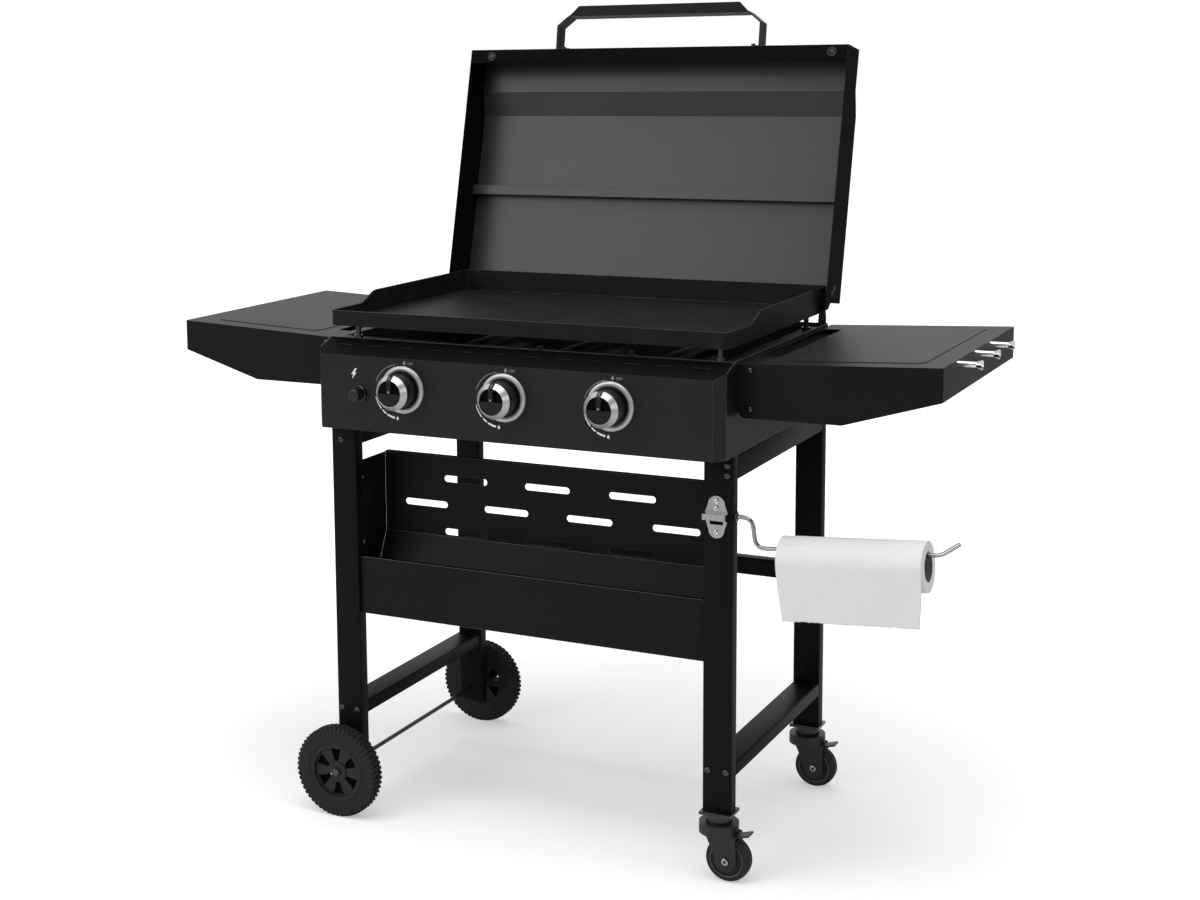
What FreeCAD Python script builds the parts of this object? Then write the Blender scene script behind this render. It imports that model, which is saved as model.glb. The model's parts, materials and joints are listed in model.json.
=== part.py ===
import FreeCAD, Part
import math
import os

# Outdoor gas griddle station. Sizes in millimetres.
# While the pieces are built, X = 0 is the outer face of the left legs, Y = 0 the front
# face of the front legs and Z = 0 the floor. At the end everything moves so that the
# origin is at the middle of the object's outline on the floor.

# Frame
frameWidth = 754.0
frameDepth = 490.0
legWidth = 50.0
legDepth = 25.0
legBoltInset = 9.5
tubeWall = 1.5
bodyBottom = 715.5
railWidth = 48.0
lowerRailTop = 200.0
lowerRailHeight = 24.5
upperRailHeight = 41.0
crossbarTop = 423.5
crossbarHeight = 33.0

# Big wheels on the left
wheelRadius = 83.0
tyreWidth = 29.0
rimRadius = 49.5
wheelWindows = 6
webThickness = 5.0
axleRadius = 4.0
wheelGap = 21.0
legBelowAxle = 21.0
axleShift = -3.0
axleInset = 0.5
axleNutRadius = 7.0
axleNutHeight = 4.0
wheelHubRadius = 12.0
wheelHubGap = 4.0
wheelBossRadius = 18.0
wheelBossRise = 2.0
wheelWall = 2.5
wheelHoleRadius = 4.8
wheelHolePlace = [17.5, 36.0]
wheelHoleTurn = [208.0, 15.0]

# Casters on the right
casterRadius = 38.0
casterWidth = 27.0
casterTrail = 18.0
casterPlateThickness = 5.0
casterPlateLength = 55.0
casterPlateWidth = 45.0
casterRaceRadius = 22.0
casterRaceHeight = 14.0
casterHeadRadius = 33.0
casterHeadHeight = 18.0
forkArm = 4.0
forkEndRadius = 18.0
kingpinRadius = 6.0
forkBoltRadius = 3.0
pedalPinRadius = 2.0
pedalLength = 26.0
pedalWidth = 24.0

# Storage bin between the front legs
binFront = 8.0
binBottom = 368.5
binFrontHeight = 104.0
binFloorDepth = 24.0
binBack = 100.4
binBendHeight = 133.0
binHeight = 281.0
binSheet = 1.2
binBoltY = 21.0
binBoltRise = 24.0
binBoltDrop = 33.0
slotLength = 86.0
slotHeight = 12.0
slotPitch = 160.5
slotRowPitch = 48.5
slotRowDrop = 42.0

# Burner box
bodyHeight = 153.0
bodySheet = 1.5
bodyFront = 30.0
bodyFlange = 20.0
firewallY = 2.5

# Control panel
panelFront = 52.8
panelDrop = 22.0
panelCornerX = 15.0
panelCornerY = 21.0
panelSheet = 1.5
ventLength = 27.0
ventWidth = 5.0
ventMargin = 46.0
ventPitch = 60.0
ventY = -20.0
wallTabX = [412.0, 578.0]
wallTabRise = [6.0, 9.0]

# Controls
knobCount = 3
knobPitch = 193.0
knobDrop = 53.4
knobFaceRadius = 30.3
knobHubRadius = 28.5
knobReach = 48.5
knobFaceDepth = 10.5
knobTipRadius = 22.5
knobShift = -6.0
bezelRadius = 41.2
bezelHole = 32.4
bezelDepth = 4.5
stemRadius = 4.0
igniterX = 91.5
igniterDrop = 12.6
igniterBezelRadius = 15.0
igniterButtonRadius = 10.5
igniterReach = 22.0
igniterTravel = 5.0

# Gas train
manifoldRadius = 9.5
manifoldY = -17.0
manifoldDrop = 31.0
valveWidth = 26.0
valveTailRadius = 6.0
inletRadius = 10.5
inletLength = 26.0
inletFromSide = 92.5
burnerRadius = 19.0
burnerEnd = 440.0
burnerDrop = 46.0
burnerStart = 40.0
burnerFootRise = 40.0
burnerFootWidth = 20.0
burnerWall = 1.2

# Griddle
griddleSideGap = 6.0
griddleFront = -5.5
griddleBack = 506.0
griddleLift = 21.0
plateThickness = 6.5
griddleWall = 3.0
griddleFrontWall = 26.7
griddleSideWall = 45.5
rampStart = 95.0
rampEnd = 153.0
griddleCorner = 12.0
footRadius = 4.5
footBaseRadius = 8.0
footBaseHeight = 5.0
footBackY = 395.0
drainWidth = 60.0
drainDepth = 8.0
spoutWall = 1.5
spoutLength = 34.0

# Grease cup behind the body
cupWidth = 110.0
cupDepth = 70.0
cupHeight = 60.0
cupWall = 1.2
cupDrop = 22.0

# Hood, drawn along its rim and into its depth, and placed as it stands open
hoodSideGap = 7.2
hoodSheet = 1.4
hoodRim = 469.0
hoodFrontLean = 6.0
hoodFrontDepth = 66.5
hoodFacetAlong = 399.0
hoodFacetDepth = 66.0
hoodTopAlong = 353.5
hoodTopDepth = 82.5
hoodBackAlong = 7.0
hoodBackDepth = 83.0
hoodBackEdge = 66.0
hoodFlange = 26.5
hoodOpenAngle = 104.1
ribAlong = 190.0
ribWidth = 19.0
ribDepth = 20.0
bumperLeft = 40.0
bumperFromRight = 22.5
bumperAlong = 455.0
bumperRadius = 9.0
bumperThickness = 3.0
bumperScrewRadius = 3.4
handleWidth = 418.0
handleGrip = 368.0
handleRise = 48.5
handleReach = 68.5
handleLip = 17.5
handleLipWidth = 329.0
handleLipSheet = 2.5
handleStrip = 33.0
handleShift = 2.8
handleThickness = 3.0
handleFoot = 30.0
handleBoltSpread = 9.0
handleHeadHeight = 4.5

# Hinge
pivotY = 465.0
pivotRise = 35.5
pinRadius = 4.0
hingePlate = 3.0
hingeArm = 4.0

# Shelves
shelfLength = 326.6
shelfFront = 20.5
shelfBack = 511.0
shelfDrop = 5.3
shelfRise = 14.1
shelfSheet = 1.5
shelfApron = 92.0
shelfApronFlat = 170.0
shelfEndHeight = 54.0
shelfCorner = 4.0
shelfBoltY = [60.0, 250.0, 440.0]
shelfBoltDrop = 72.0
shelfSlotCorner = 8.0
shelfSlotStart = 6.0
shelfSlotWidth = 35.0
shelfSlotFront = 97.0
shelfSlotBack = 446.0
raisedStart = 64.0
raisedEnd = 288.0
raisedFront = 62.0
raisedBack = 490.0
raisedHeight = 0.9
raisedCorner = 22.0
apronCorner = 12.0
bracketWidth = 34.0
bracketReach = 24.0
bracketSheet = 2.0
bracketGap = 3.0
shelfScrewX = 20.0
shelfScrewDrops = [9.0, 72.0]
shelfScrewRadius = 2.0
shelfScrewHead = 4.4
shelfScrewHeight = 2.4
pegLength = 39.0
pegRadius = 4.5
pegTipRadius = 8.0
pegTipLength = 9.0
pegDrop = 5.5
pegY = [107.0, 224.0, 328.0]

# Bottle opener
openerWidth = 29.0
openerDrop = 65.0
openerHeight = 71.0
openerShift = -2.0
openerSheet = 2.0
catchDrop = 30.0
catchWidth = 39.0
catchReach = 16.0
catchLip = 8.0

# Towel rod and paper roll
rodRadius = 3.5
rodY = 14.5
rodDrop = 100.0
rodBendX = 28.0
rodLowX = 34.0
rodBendDrop = 48.5
rodEndX = 331.0
rodRise = 21.1
rodTipX = 360.6
rodTipRise = 21.5
rollStart = 79.5
rollLength = 232.0
rollRadius = 40.5
coreRadius = 22.5
coreWall = 1.0
tailLength = 87.0
tailThickness = 0.8

# Fits and fasteners
runningGap = 0.06
looseGap = 0.4
seamGap = 0.05
boltRadius = 3.0
boltGap = 0.2
boltHeadRadius = 5.5
boltHeadHeight = 3.0

# Places worked out from the sizes above
bodyTop = bodyBottom + bodyHeight
panelTop = bodyTop - panelDrop
knobHeight = panelTop - knobDrop
igniterHeight = knobHeight - igniterDrop
burnerHeight = bodyTop - burnerDrop
griddleBottom = bodyTop + griddleLift
griddleFrontTop = griddleBottom + griddleFrontWall
griddleBackTop = griddleBottom + griddleSideWall
cupTop = bodyTop - cupDrop
pivotZ = bodyTop + pivotRise
shelfTopInner = bodyTop - shelfDrop
shelfApronBottom = bodyTop - shelfApron
openerTop = bodyBottom - openerDrop
openerBottom = openerTop - openerHeight
catchHeight = openerTop - catchDrop
rodStartZ = bodyBottom - rodDrop
rodLowZ = rodStartZ - rodBendDrop
rodEndZ = rodLowZ + rodRise
rodTipZ = rodEndZ + rodTipRise
binFrontTop = binBottom + binFrontHeight
binBend = binBottom + binBendHeight
binTop = binBottom + binHeight
slotTopRow = binTop - slotRowDrop
inletX = frameWidth - inletFromSide
legX = [0.0, frameWidth - legWidth]
legY = [0.0, frameDepth - legDepth]
axleX = legWidth / 2 + axleShift
axleZ = wheelRadius
legMidRight = frameWidth - legWidth / 2
casterMidY = [legDepth / 2, frameDepth - legDepth / 2]
casterHeadBottom = 2 * casterRadius + pedalPinRadius * 2 + 1.0
casterHeadTop = casterHeadBottom + casterHeadHeight
casterPlateBottom = casterHeadTop + casterRaceHeight
rightLegBottom = casterPlateBottom + casterPlateThickness
leftLegBottom = axleZ - legBelowAxle
knobX = [frameWidth / 2 + knobShift + (i - (knobCount - 1) / 2) * knobPitch for i in range(knobCount)]
panelSlope = (bodyTop - panelTop) / (panelFront + 8.0)
griddleLeft = griddleSideGap
griddleRight = frameWidth - griddleSideGap
bumperX = [bumperLeft, frameWidth - bumperFromRight]
plateTop = griddleBottom + plateThickness
hoodLeft = -hoodSideGap
hoodRight = frameWidth + hoodSideGap
hoodPivotAlong = -5.0
hoodPivotDepth = 12.0
hoodRestHeight = griddleFrontTop + looseGap - pivotZ + hoodPivotDepth + bumperThickness
hoodShutTilt = math.degrees(math.asin(hoodRestHeight / (bumperAlong - hoodPivotAlong)))
hoodTravel = hoodOpenAngle - hoodShutTilt
wheelMid = [-wheelGap - tyreWidth / 2, frameDepth + wheelGap + tyreWidth / 2]
wheelBossInset = axleInset + axleNutHeight + looseGap
wheelFaceInset = wheelBossInset + wheelBossRise

vec = FreeCAD.Vector
xAxis = vec(1, 0, 0)


def block(x0, x1, y0, y1, z0, z1):
    return Part.makeBox(x1 - x0, y1 - y0, z1 - z0, vec(x0, y0, z0))


def rod(radius, start, end):
    along = end.sub(start)
    return Part.makeCylinder(radius, along.Length, start, along)


def prism(points, push):
    corners = [vec(*p) for p in points]
    return Part.Face(Part.makePolygon(corners + [corners[0]])).extrude(push)


def prismX(points, x0, x1):
    return prism([(x0, y, z) for y, z in points], vec(x1 - x0, 0, 0))


def prismY(points, y0, y1):
    return prism([(x, y0, z) for x, z in points], vec(0, y1 - y0, 0))


def prismZ(points, z0, z1):
    return prism([(x, y, z0) for x, y in points], vec(0, 0, z1 - z0))


# A rectangle with round corners, standing on z0
def roundedBlock(x0, x1, y0, y1, z0, z1, radius):
    slab = block(x0, x1, y0, y1, z0, z1)
    uprights = [e for e in slab.Edges if abs(e.Vertexes[0].Z - e.Vertexes[1].Z) > (z1 - z0) / 2]
    return slab.makeFillet(radius, uprights)


def fuse(shapes):
    whole = shapes[0].multiFuse(shapes[1:])
    return whole.removeSplitter()


# The corner points of a bent sheet: the path, and the path moved to its left side
def bentSheet(path, thickness):
    offset = []
    for i, point in enumerate(path):
        before = path[max(i - 1, 0)]
        after = path[min(i + 1, len(path) - 1)]
        first = (point[0] - before[0], point[1] - before[1]) if i > 0 else None
        second = (after[0] - point[0], after[1] - point[1]) if i < len(path) - 1 else None
        first = first or second
        second = second or first
        n1 = (-first[1] / math.hypot(*first), first[0] / math.hypot(*first))
        n2 = (-second[1] / math.hypot(*second), second[0] / math.hypot(*second))
        scale = thickness / (1 + n1[0] * n2[0] + n1[1] * n2[1])
        offset.append((point[0] + scale * (n1[0] + n2[0]), point[1] + scale * (n1[1] + n2[1])))
    return list(path) + offset[::-1]


def tubeX(x0, x1, y0, y1, z0, z1):
    inner = block(x0 - 1, x1 + 1, y0 + tubeWall, y1 - tubeWall, z0 + tubeWall, z1 - tubeWall)
    return block(x0, x1, y0, y1, z0, z1).cut(inner)


def tubeY(x0, x1, y0, y1, z0, z1):
    inner = block(x0 + tubeWall, x1 - tubeWall, y0 - 1, y1 + 1, z0 + tubeWall, z1 - tubeWall)
    return block(x0, x1, y0, y1, z0, z1).cut(inner)


def tubeZ(x0, x1, y0, y1, z0, z1):
    inner = block(x0 + tubeWall, x1 - tubeWall, y0 + tubeWall, y1 - tubeWall, z0 - 1, z1 + 1)
    return block(x0, x1, y0, y1, z0, z1).cut(inner)


# Bolts: a place on the face, the way the head points, and the length of the shank
def bolt(place, out, length):
    head = Part.makeCylinder(boltHeadRadius, boltHeadHeight, place, out)
    shank = Part.makeCylinder(boltRadius, length, place, out.negative())
    return fuse([head, shank])


def drill(shape, bolts):
    for place, out, length in bolts:
        hole = Part.makeCylinder(boltRadius + boltGap, length + 1.0, place.add(out), out.negative())
        if shape.BoundBox.intersect(hole.BoundBox):
            shape = shape.cut(hole)
    return shape


# The bolts that hold the frame, the bin and the shelves together
def frameBoltList():
    bolts = []
    railMid = lowerRailTop - lowerRailHeight / 2
    for face, out in ((0.0, -1), (frameDepth, 1)):
        for x0 in legX:
            for dx in (legBoltInset, legWidth - legBoltInset):
                bolts.append((vec(x0 + dx, face, railMid), vec(0, out, 0), legDepth))
        for z in (bodyBottom - 14.5, bodyBottom - 31.0):
            bolts.append((vec(frameWidth - legBoltInset, face, z), vec(0, out, 0), legDepth))
        bolts.append((vec(legWidth * 0.4, face, bodyBottom - 31.0), vec(0, out, 0), legDepth))
    for z in (binFrontTop + binBoltRise, binTop - binBoltDrop):
        bolts.append((vec(legWidth + binSheet, binBoltY, z), vec(1, 0, 0), 12.0))
        bolts.append((vec(frameWidth - legWidth - binSheet, binBoltY, z), vec(-1, 0, 0), 12.0))
    for side in (-1, 1):
        wall = 0.0 if side < 0 else frameWidth
        for y in shelfBoltY:
            place = vec(wall + side * shelfSheet, y, bodyTop - shelfBoltDrop)
            bolts.append((place, vec(side, 0, 0), 8.0))
    return bolts


frameBolts = frameBoltList()


def leg(ix, iy):
    x0 = legX[ix]
    y0 = legY[iy]
    bottom = leftLegBottom if ix == 0 else rightLegBottom
    shape = tubeZ(x0, x0 + legWidth, y0, y0 + legDepth, bottom, bodyBottom)
    if ix == 0:
        bore = rod(axleRadius + boltGap, vec(axleX, y0 - 1, axleZ), vec(axleX, y0 + legDepth + 1, axleZ))
        shape = shape.cut(bore)
    return drill(shape, frameBolts)


def lowerRail(ix):
    x0 = 0.0 if ix == 0 else frameWidth - railWidth
    return tubeY(x0, x0 + railWidth, legDepth, legY[1], lowerRailTop - lowerRailHeight, lowerRailTop)


def upperRail(ix):
    x0 = 0.0 if ix == 0 else frameWidth - railWidth
    return tubeY(x0, x0 + railWidth, legDepth, legY[1], bodyBottom - upperRailHeight, bodyBottom)


def crossbar():
    return tubeX(legWidth, legX[1], legY[1], frameDepth, crossbarTop - crossbarHeight, crossbarTop)


# Pan-head screws in the front of each shelf, which hold it to a bracket inside
def shelfScrews():
    screws = []
    face = vec(0, shelfFront, 0)
    for x in (frameWidth + shelfScrewX, -shelfScrewX):
        for drop in shelfScrewDrops:
            place = face.add(vec(x, 0, shelfTopInner - drop))
            head = rod(shelfScrewHead, place, place.add(vec(0, -shelfScrewHeight, 0)))
            rim = [e for e in head.Edges if abs(e.CenterOfMass.y - shelfFront + shelfScrewHeight) < 0.01]
            head = head.makeFillet(shelfScrewHeight * 0.6, rim)
            shank = rod(shelfScrewRadius, place, place.add(vec(0, shelfSheet + bracketSheet + 3.0, 0)))
            screws.append(fuse([head, shank]))
    return screws


def frameBoltGroup():
    return Part.makeCompound([bolt(*b) for b in frameBolts] + shelfScrews())


# The bin: a front wall, a narrow floor, a sloping back and an upright back with slots
def binPanel():
    path = [
        (binFront + 9.0, binFrontTop - binSheet),
        (binFront + binSheet, binFrontTop - binSheet),
        (binFront + binSheet, binBottom + binSheet),
        (binFront + binFloorDepth, binBottom + binSheet),
        (binBack - binSheet, binBend),
        (binBack - binSheet, binTop - binSheet),
        (binBack + 10.0, binTop - binSheet),
    ]
    profile = bentSheet(path, -binSheet)
    panel = prismX(profile, legWidth + binSheet, legX[1] - binSheet)
    for row in range(3):
        count = 3 + row % 2
        start = frameWidth / 2 - (count - 1) / 2 * slotPitch
        z = slotTopRow - row * slotRowPitch
        for i in range(count):
            x = start + i * slotPitch
            reach = slotLength / 2 - slotHeight / 2
            y0 = binBack - 5
            y1 = binBack + 5
            middle = block(x - reach, x + reach, y0, y1, z - slotHeight / 2, z + slotHeight / 2)
            left = rod(slotHeight / 2, vec(x - reach, y0, z), vec(x - reach, y1, z))
            right = rod(slotHeight / 2, vec(x + reach, y0, z), vec(x + reach, y1, z))
            panel = panel.cut(fuse([middle, left, right]))
    return panel


def binEnd(side):
    outline = [
        (binFront + binSheet, binBottom + binSheet),
        (binFront + binFloorDepth, binBottom + binSheet),
        (binBack - binSheet, binBend),
        (binBack - binSheet, binTop - 3.0),
        (binFront + 9.0, binTop - 3.0),
        (binFront + 9.0, binFrontTop - binSheet),
        (binFront + binSheet, binFrontTop - binSheet),
    ]
    x0 = legWidth if side < 0 else legX[1] - binSheet
    return drill(prismX(outline, x0, x0 + binSheet), frameBolts)


def binEnds():
    return Part.makeCompound([binEnd(-1), binEnd(1)])


# Axle with a nut outside each wheel
def axle():
    front = wheelMid[0] - tyreWidth / 2 + axleInset
    back = wheelMid[1] + tyreWidth / 2 - axleInset
    shaft = rod(axleRadius, vec(axleX, front, axleZ), vec(axleX, back, axleZ))
    frontNut = rod(axleNutRadius, vec(axleX, front, axleZ), vec(axleX, front + axleNutHeight, axleZ))
    backNut = rod(axleNutRadius, vec(axleX, back - axleNutHeight, axleZ), vec(axleX, back, axleZ))
    return fuse([shaft, frontNut, backNut])


# One face of a moulded wheel: a disc with tapered windows
def wheelWeb(face, inward):
    web = rod(rimRadius - 1, vec(0, face, 0), vec(0, face + inward * webThickness, 0))
    for i in range(wheelWindows):
        turn = math.radians(360 / wheelWindows * i + 33)
        half = math.radians(14.5)
        corners = []
        for radius, sign in ((20.0, -1), (43.5, -1), (43.5, 1), (20.0, 1)):
            spread = half * sign * (1.0 if radius > 30 else 0.75)
            corners.append((radius * math.cos(turn + spread), radius * math.sin(turn + spread)))
        web = web.cut(prismY(corners, face - 2 * webThickness, face + 2 * webThickness))
    return web


# A moulded wheel: rim, a windowed face on each side of a closed wall, and a hub that
# reaches towards the leg
def bigWheel(index):
    mid = wheelMid[index]
    out = -1 if index == 0 else 1
    half = tyreWidth / 2
    rim = rod(rimRadius, vec(0, mid - half + 1, 0), vec(0, mid + half - 1, 0))
    rim = rim.cut(rod(rimRadius - 3.5, vec(0, mid - half, 0), vec(0, mid + half, 0)))
    wall = rod(rimRadius - 1, vec(0, mid - wheelWall / 2, 0), vec(0, mid + wheelWall / 2, 0))
    webs = [wheelWeb(mid + side * (half - wheelFaceInset), -side) for side in (-1, 1)]
    bossEnd = mid + out * (half - wheelBossInset)
    boss = rod(wheelBossRadius, vec(0, mid, 0), vec(0, bossEnd, 0))
    hubEnd = mid - out * (half + wheelGap - wheelHubGap)
    hub = rod(wheelHubRadius, vec(0, mid, 0), vec(0, hubEnd, 0))
    wheel = fuse([rim, wall, boss, hub] + webs)
    place = wheelHolePlace[index]
    turn = math.radians(wheelHoleTurn[index])
    hole = vec(place * math.cos(turn), 0, place * math.sin(turn))
    wheel = wheel.cut(rod(wheelHoleRadius, hole.add(vec(0, mid - half, 0)), hole.add(vec(0, mid + half, 0))))
    low, high = sorted((bossEnd, hubEnd))
    wheel = wheel.cut(rod(axleRadius + runningGap, vec(0, low - 1, 0), vec(0, high + 1, 0)))
    wheel.translate(vec(axleX, 0, axleZ))
    return wheel


def tyre(index):
    mid = wheelMid[index]
    y0 = mid - tyreWidth / 2
    y1 = mid + tyreWidth / 2
    outer = rod(wheelRadius, vec(axleX, y0, axleZ), vec(axleX, y1, axleZ))
    rims = [e for e in outer.Edges if isinstance(e.Curve, Part.Circle)]
    outer = outer.makeFillet(6.0, rims)
    return outer.cut(rod(rimRadius, vec(axleX, y0 - 1, axleZ), vec(axleX, y1 + 1, axleZ)))


# Caster plate, welded under a right leg, with its race and the kingpin
def casterMount(index):
    y = casterMidY[index]
    x = legMidRight
    length = casterPlateLength / 2
    width = casterPlateWidth / 2
    plate = block(x - length, x + length, y - width, y + width, casterPlateBottom, rightLegBottom)
    race = rod(casterRaceRadius, vec(x, y, casterHeadTop + looseGap), vec(x, y, casterPlateBottom))
    pin = rod(kingpinRadius, vec(x, y, casterHeadBottom + 4.0), vec(x, y, casterPlateBottom))
    return fuse([plate, race, pin])


def casterMounts():
    return Part.makeCompound([casterMount(0), casterMount(1)])


# Caster fork: a round head with two arms that reach back to the wheel's axle bolt
def casterFork(index):
    y = casterMidY[index]
    x = legMidRight
    wheelX = x + casterTrail
    armIn = casterWidth / 2 + 1.5
    armOut = armIn + forkArm
    head = rod(casterHeadRadius, vec(x, y, casterHeadBottom), vec(x, y, casterHeadTop))
    head = head.cut(rod(kingpinRadius + runningGap, vec(x, y, 0), vec(x, y, casterHeadTop + 1)))
    arms = []
    outline = [
        (x - 19.0, casterHeadBottom + 2.0),
        (wheelX - forkEndRadius, casterRadius + 4.0),
        (wheelX - forkEndRadius, casterRadius),
        (wheelX + forkEndRadius, casterRadius),
        (wheelX + forkEndRadius, casterRadius + 16.0),
        (pedalPivot(index, 0).x + 4.0, casterHeadBottom - 7.0),
        (pedalPivot(index, 0).x + 4.0, casterHeadBottom),
        (x + 27.0, casterHeadBottom + 2.0),
    ]
    for side in (-1, 1):
        y0 = y + side * armIn
        y1 = y + side * armOut
        arm = prismY(outline, min(y0, y1), max(y0, y1))
        end = rod(forkEndRadius, vec(wheelX, y0, casterRadius), vec(wheelX, y1, casterRadius))
        arms.append(arm.fuse(end))
    fork = fuse([head] + arms)
    hole = rod(forkBoltRadius + boltGap, vec(wheelX, y - 40, casterRadius), vec(wheelX, y + 40, casterRadius))
    pedalHole = rod(pedalPinRadius + runningGap, pedalPivot(index, -40), pedalPivot(index, 40))
    fork = fork.cut(hole).cut(pedalHole)
    pin = rod(forkBoltRadius, vec(wheelX, y - armOut, casterRadius), vec(wheelX, y + armOut, casterRadius))
    heads = []
    for side in (-1, 1):
        face = y + side * armOut
        heads.append(rod(6.0, vec(wheelX, face, casterRadius), vec(wheelX, face + side * 2.5, casterRadius)))
    return Part.makeCompound([fork, fuse([pin] + heads)])


# The pedal's pin runs close above the wheel and close below the head
def pedalPivot(index, across):
    z = casterHeadBottom - pedalPinRadius - 0.5
    rise = z - casterRadius
    clear = casterRadius + pedalPinRadius + 1.0
    out = max(math.sqrt(max(clear * clear - rise * rise, 0.0)), 12.0)
    return vec(legMidRight + casterTrail + out, casterMidY[index] + across, z)


def casterWheel(index):
    y = casterMidY[index]
    x = legMidRight + casterTrail
    half = casterWidth / 2
    wheel = rod(casterRadius, vec(x, y - half, casterRadius), vec(x, y + half, casterRadius))
    rims = [e for e in wheel.Edges if isinstance(e.Curve, Part.Circle)]
    wheel = wheel.makeFillet(3.0, rims)
    bore = rod(forkBoltRadius + runningGap, vec(x, y - half - 1, casterRadius),
               vec(x, y + half + 1, casterRadius))
    return wheel.cut(bore)


# Brake pedal: a tab that points outward from a cross pin in the fork
def brakePedal(index):
    pivot = pedalPivot(index, 0)
    half = casterWidth / 2 + 1.5 + forkArm
    pin = rod(pedalPinRadius, vec(pivot.x, pivot.y - half, pivot.z), vec(pivot.x, pivot.y + half, pivot.z))
    clear = legMidRight + casterHeadRadius + 1.5
    tab = [
        (pivot.x, pivot.z - pedalPinRadius),
        (pivot.x + pedalLength, pivot.z + 5.0),
        (pivot.x + pedalLength - 0.5, pivot.z + 8.0),
        (max(clear, pivot.x + 1.0), pivot.z + pedalPinRadius),
        (pivot.x, pivot.z + pedalPinRadius),
    ]
    return fuse([pin, prismY(tab, pivot.y - pedalWidth / 2, pivot.y + pedalWidth / 2)])


# Burner box walls
def bodySide(side):
    x0 = 0.0 if side < 0 else frameWidth - bodySheet
    outline = [
        (-bodyFront, bodyBottom),
        (frameDepth, bodyBottom),
        (frameDepth, bodyTop),
        (8.0, bodyTop),
        (-bodyFront, panelTop + panelSlope * (panelFront - bodyFront)),
    ]
    wall = prismX(outline, x0, x0 + bodySheet)
    inner = bodyFlange if side < 0 else frameWidth - bodyFlange
    fx0, fx1 = sorted((x0 + bodySheet / 2, inner))
    flange = block(fx0, fx1, firewallY + bodyFlange, pivotY - 30.0, bodyTop - bodySheet, bodyTop)
    foot = block(fx0, fx1, legDepth, frameDepth - bodySheet, bodyBottom, bodyBottom + bodySheet)
    return drill(fuse([wall, flange, foot]), frameBolts)


def bodyFrontWall():
    x0 = bodySheet
    x1 = frameWidth - bodySheet
    path = [(firewallY, bodyBottom + bodySheet), (firewallY, bodyTop), (firewallY + bodyFlange, bodyTop)]
    wall = prismX(bentSheet(path, -bodySheet), x0, x1)
    for x in knobX:
        hole = rod(burnerNeckRadius() + boltGap, vec(x, -5, burnerHeight), vec(x, 30, burnerHeight))
        wall = wall.cut(hole)
    tabs = []
    for x, height in zip(wallTabX, wallTabRise):
        tabs.append(block(x - 5, x + 5, firewallY, firewallY + 6, bodyTop - bodySheet / 2, bodyTop + height))
    return fuse([wall] + tabs)


def burnerNeckRadius():
    return burnerRadius * 0.6


def bodyBackWall():
    y1 = frameDepth
    wall = block(bodySheet, frameWidth - bodySheet, y1 - bodySheet, y1, bodyBottom, bodyTop)
    middle = frameWidth / 2
    hooks = []
    for side in (-1, 1):
        edge = middle + side * (cupWidth / 2 + 1.0)
        x0, x1 = sorted((edge, edge + side * 10.0))
        hooks.append(block(x0, x1, y1 - bodySheet / 2, y1 + cupDepth - 10.0, cupTop - 8.0, cupTop - 6.0))
        w0, w1 = sorted((edge + side * 8.0, edge + side * 10.0))
        hooks.append(block(w0, w1, y1 - bodySheet / 2, y1 + cupDepth - 10.0, cupTop - 8.0, cupTop + 6.0))
    return fuse([wall] + hooks)


# Control panel: front, cut corners and the sloping top, one bent and welded sheet
def panelBlock(inset):
    x1 = frameWidth
    back = firewallY - seamGap
    side = bodySheet + seamGap
    sideTurn = math.atan2(panelCornerX, panelCornerY)
    sideLean = inset * math.tan(sideTurn / 2)
    frontLean = inset * math.tan((math.pi / 2 - sideTurn) / 2)
    plan = [
        (inset, -bodyFront - seamGap),
        (inset, -panelFront + panelCornerY + sideLean),
        (panelCornerX + frontLean, -panelFront + inset),
        (x1 - panelCornerX - frontLean, -panelFront + inset),
        (x1 - inset, -panelFront + panelCornerY + sideLean),
        (x1 - inset, -bodyFront - seamGap),
        (x1 - side - inset, -bodyFront - seamGap),
        (x1 - side - inset, back + inset),
        (side + inset, back + inset),
        (side + inset, -bodyFront - seamGap),
    ]
    low = bodyBottom - inset
    tall = prismZ(plan, low, bodyTop + 30)
    drop = inset / math.cos(math.atan(panelSlope))
    top = [
        (-panelFront - 10, panelTop - 10 * panelSlope - drop),
        (back + 10, panelTop + (panelFront + back + 10) * panelSlope - drop),
        (back + 10, bodyTop + 60),
        (-panelFront - 10, bodyTop + 60),
    ]
    return tall.cut(prismX(top, -50, x1 + 50))


def controlPanel():
    panel = panelBlock(0.0).cut(panelBlock(panelSheet))
    for x in knobX:
        hole = rod(stemRadius + 3.0, vec(x, -panelFront - 5, knobHeight), vec(x, -panelFront + 5, knobHeight))
        panel = panel.cut(hole)
    place = vec(igniterX, -panelFront - 5, igniterHeight)
    panel = panel.cut(rod(igniterButtonRadius + 2.0, place, place.add(vec(0, 10, 0))))
    for x in ventPlaces():
        y = ventY
        half = ventLength / 2
        z = panelTop + panelSlope * (panelFront + y)
        panel = panel.cut(block(x - half, x + half, y - ventWidth / 2, y + ventWidth / 2, z - 6, z + 6))
    return panel


def ventPlaces():
    span = frameWidth - 2 * ventMargin
    count = int(span // ventPitch) + 1
    return [ventMargin + i * span / (count - 1) for i in range(count)]


# Trim rings round the knobs and round the igniter
def bezelRing(x, z, outer, inner):
    ring = rod(outer, vec(x, -panelFront, z), vec(x, -panelFront - bezelDepth, z))
    front = [e for e in ring.Edges if abs(e.CenterOfMass.y + panelFront + bezelDepth) < 0.01]
    ring = ring.makeFillet(1.5, front)
    return ring.cut(rod(inner, vec(x, -panelFront + 1, z), vec(x, -panelFront - 9, z)))


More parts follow.
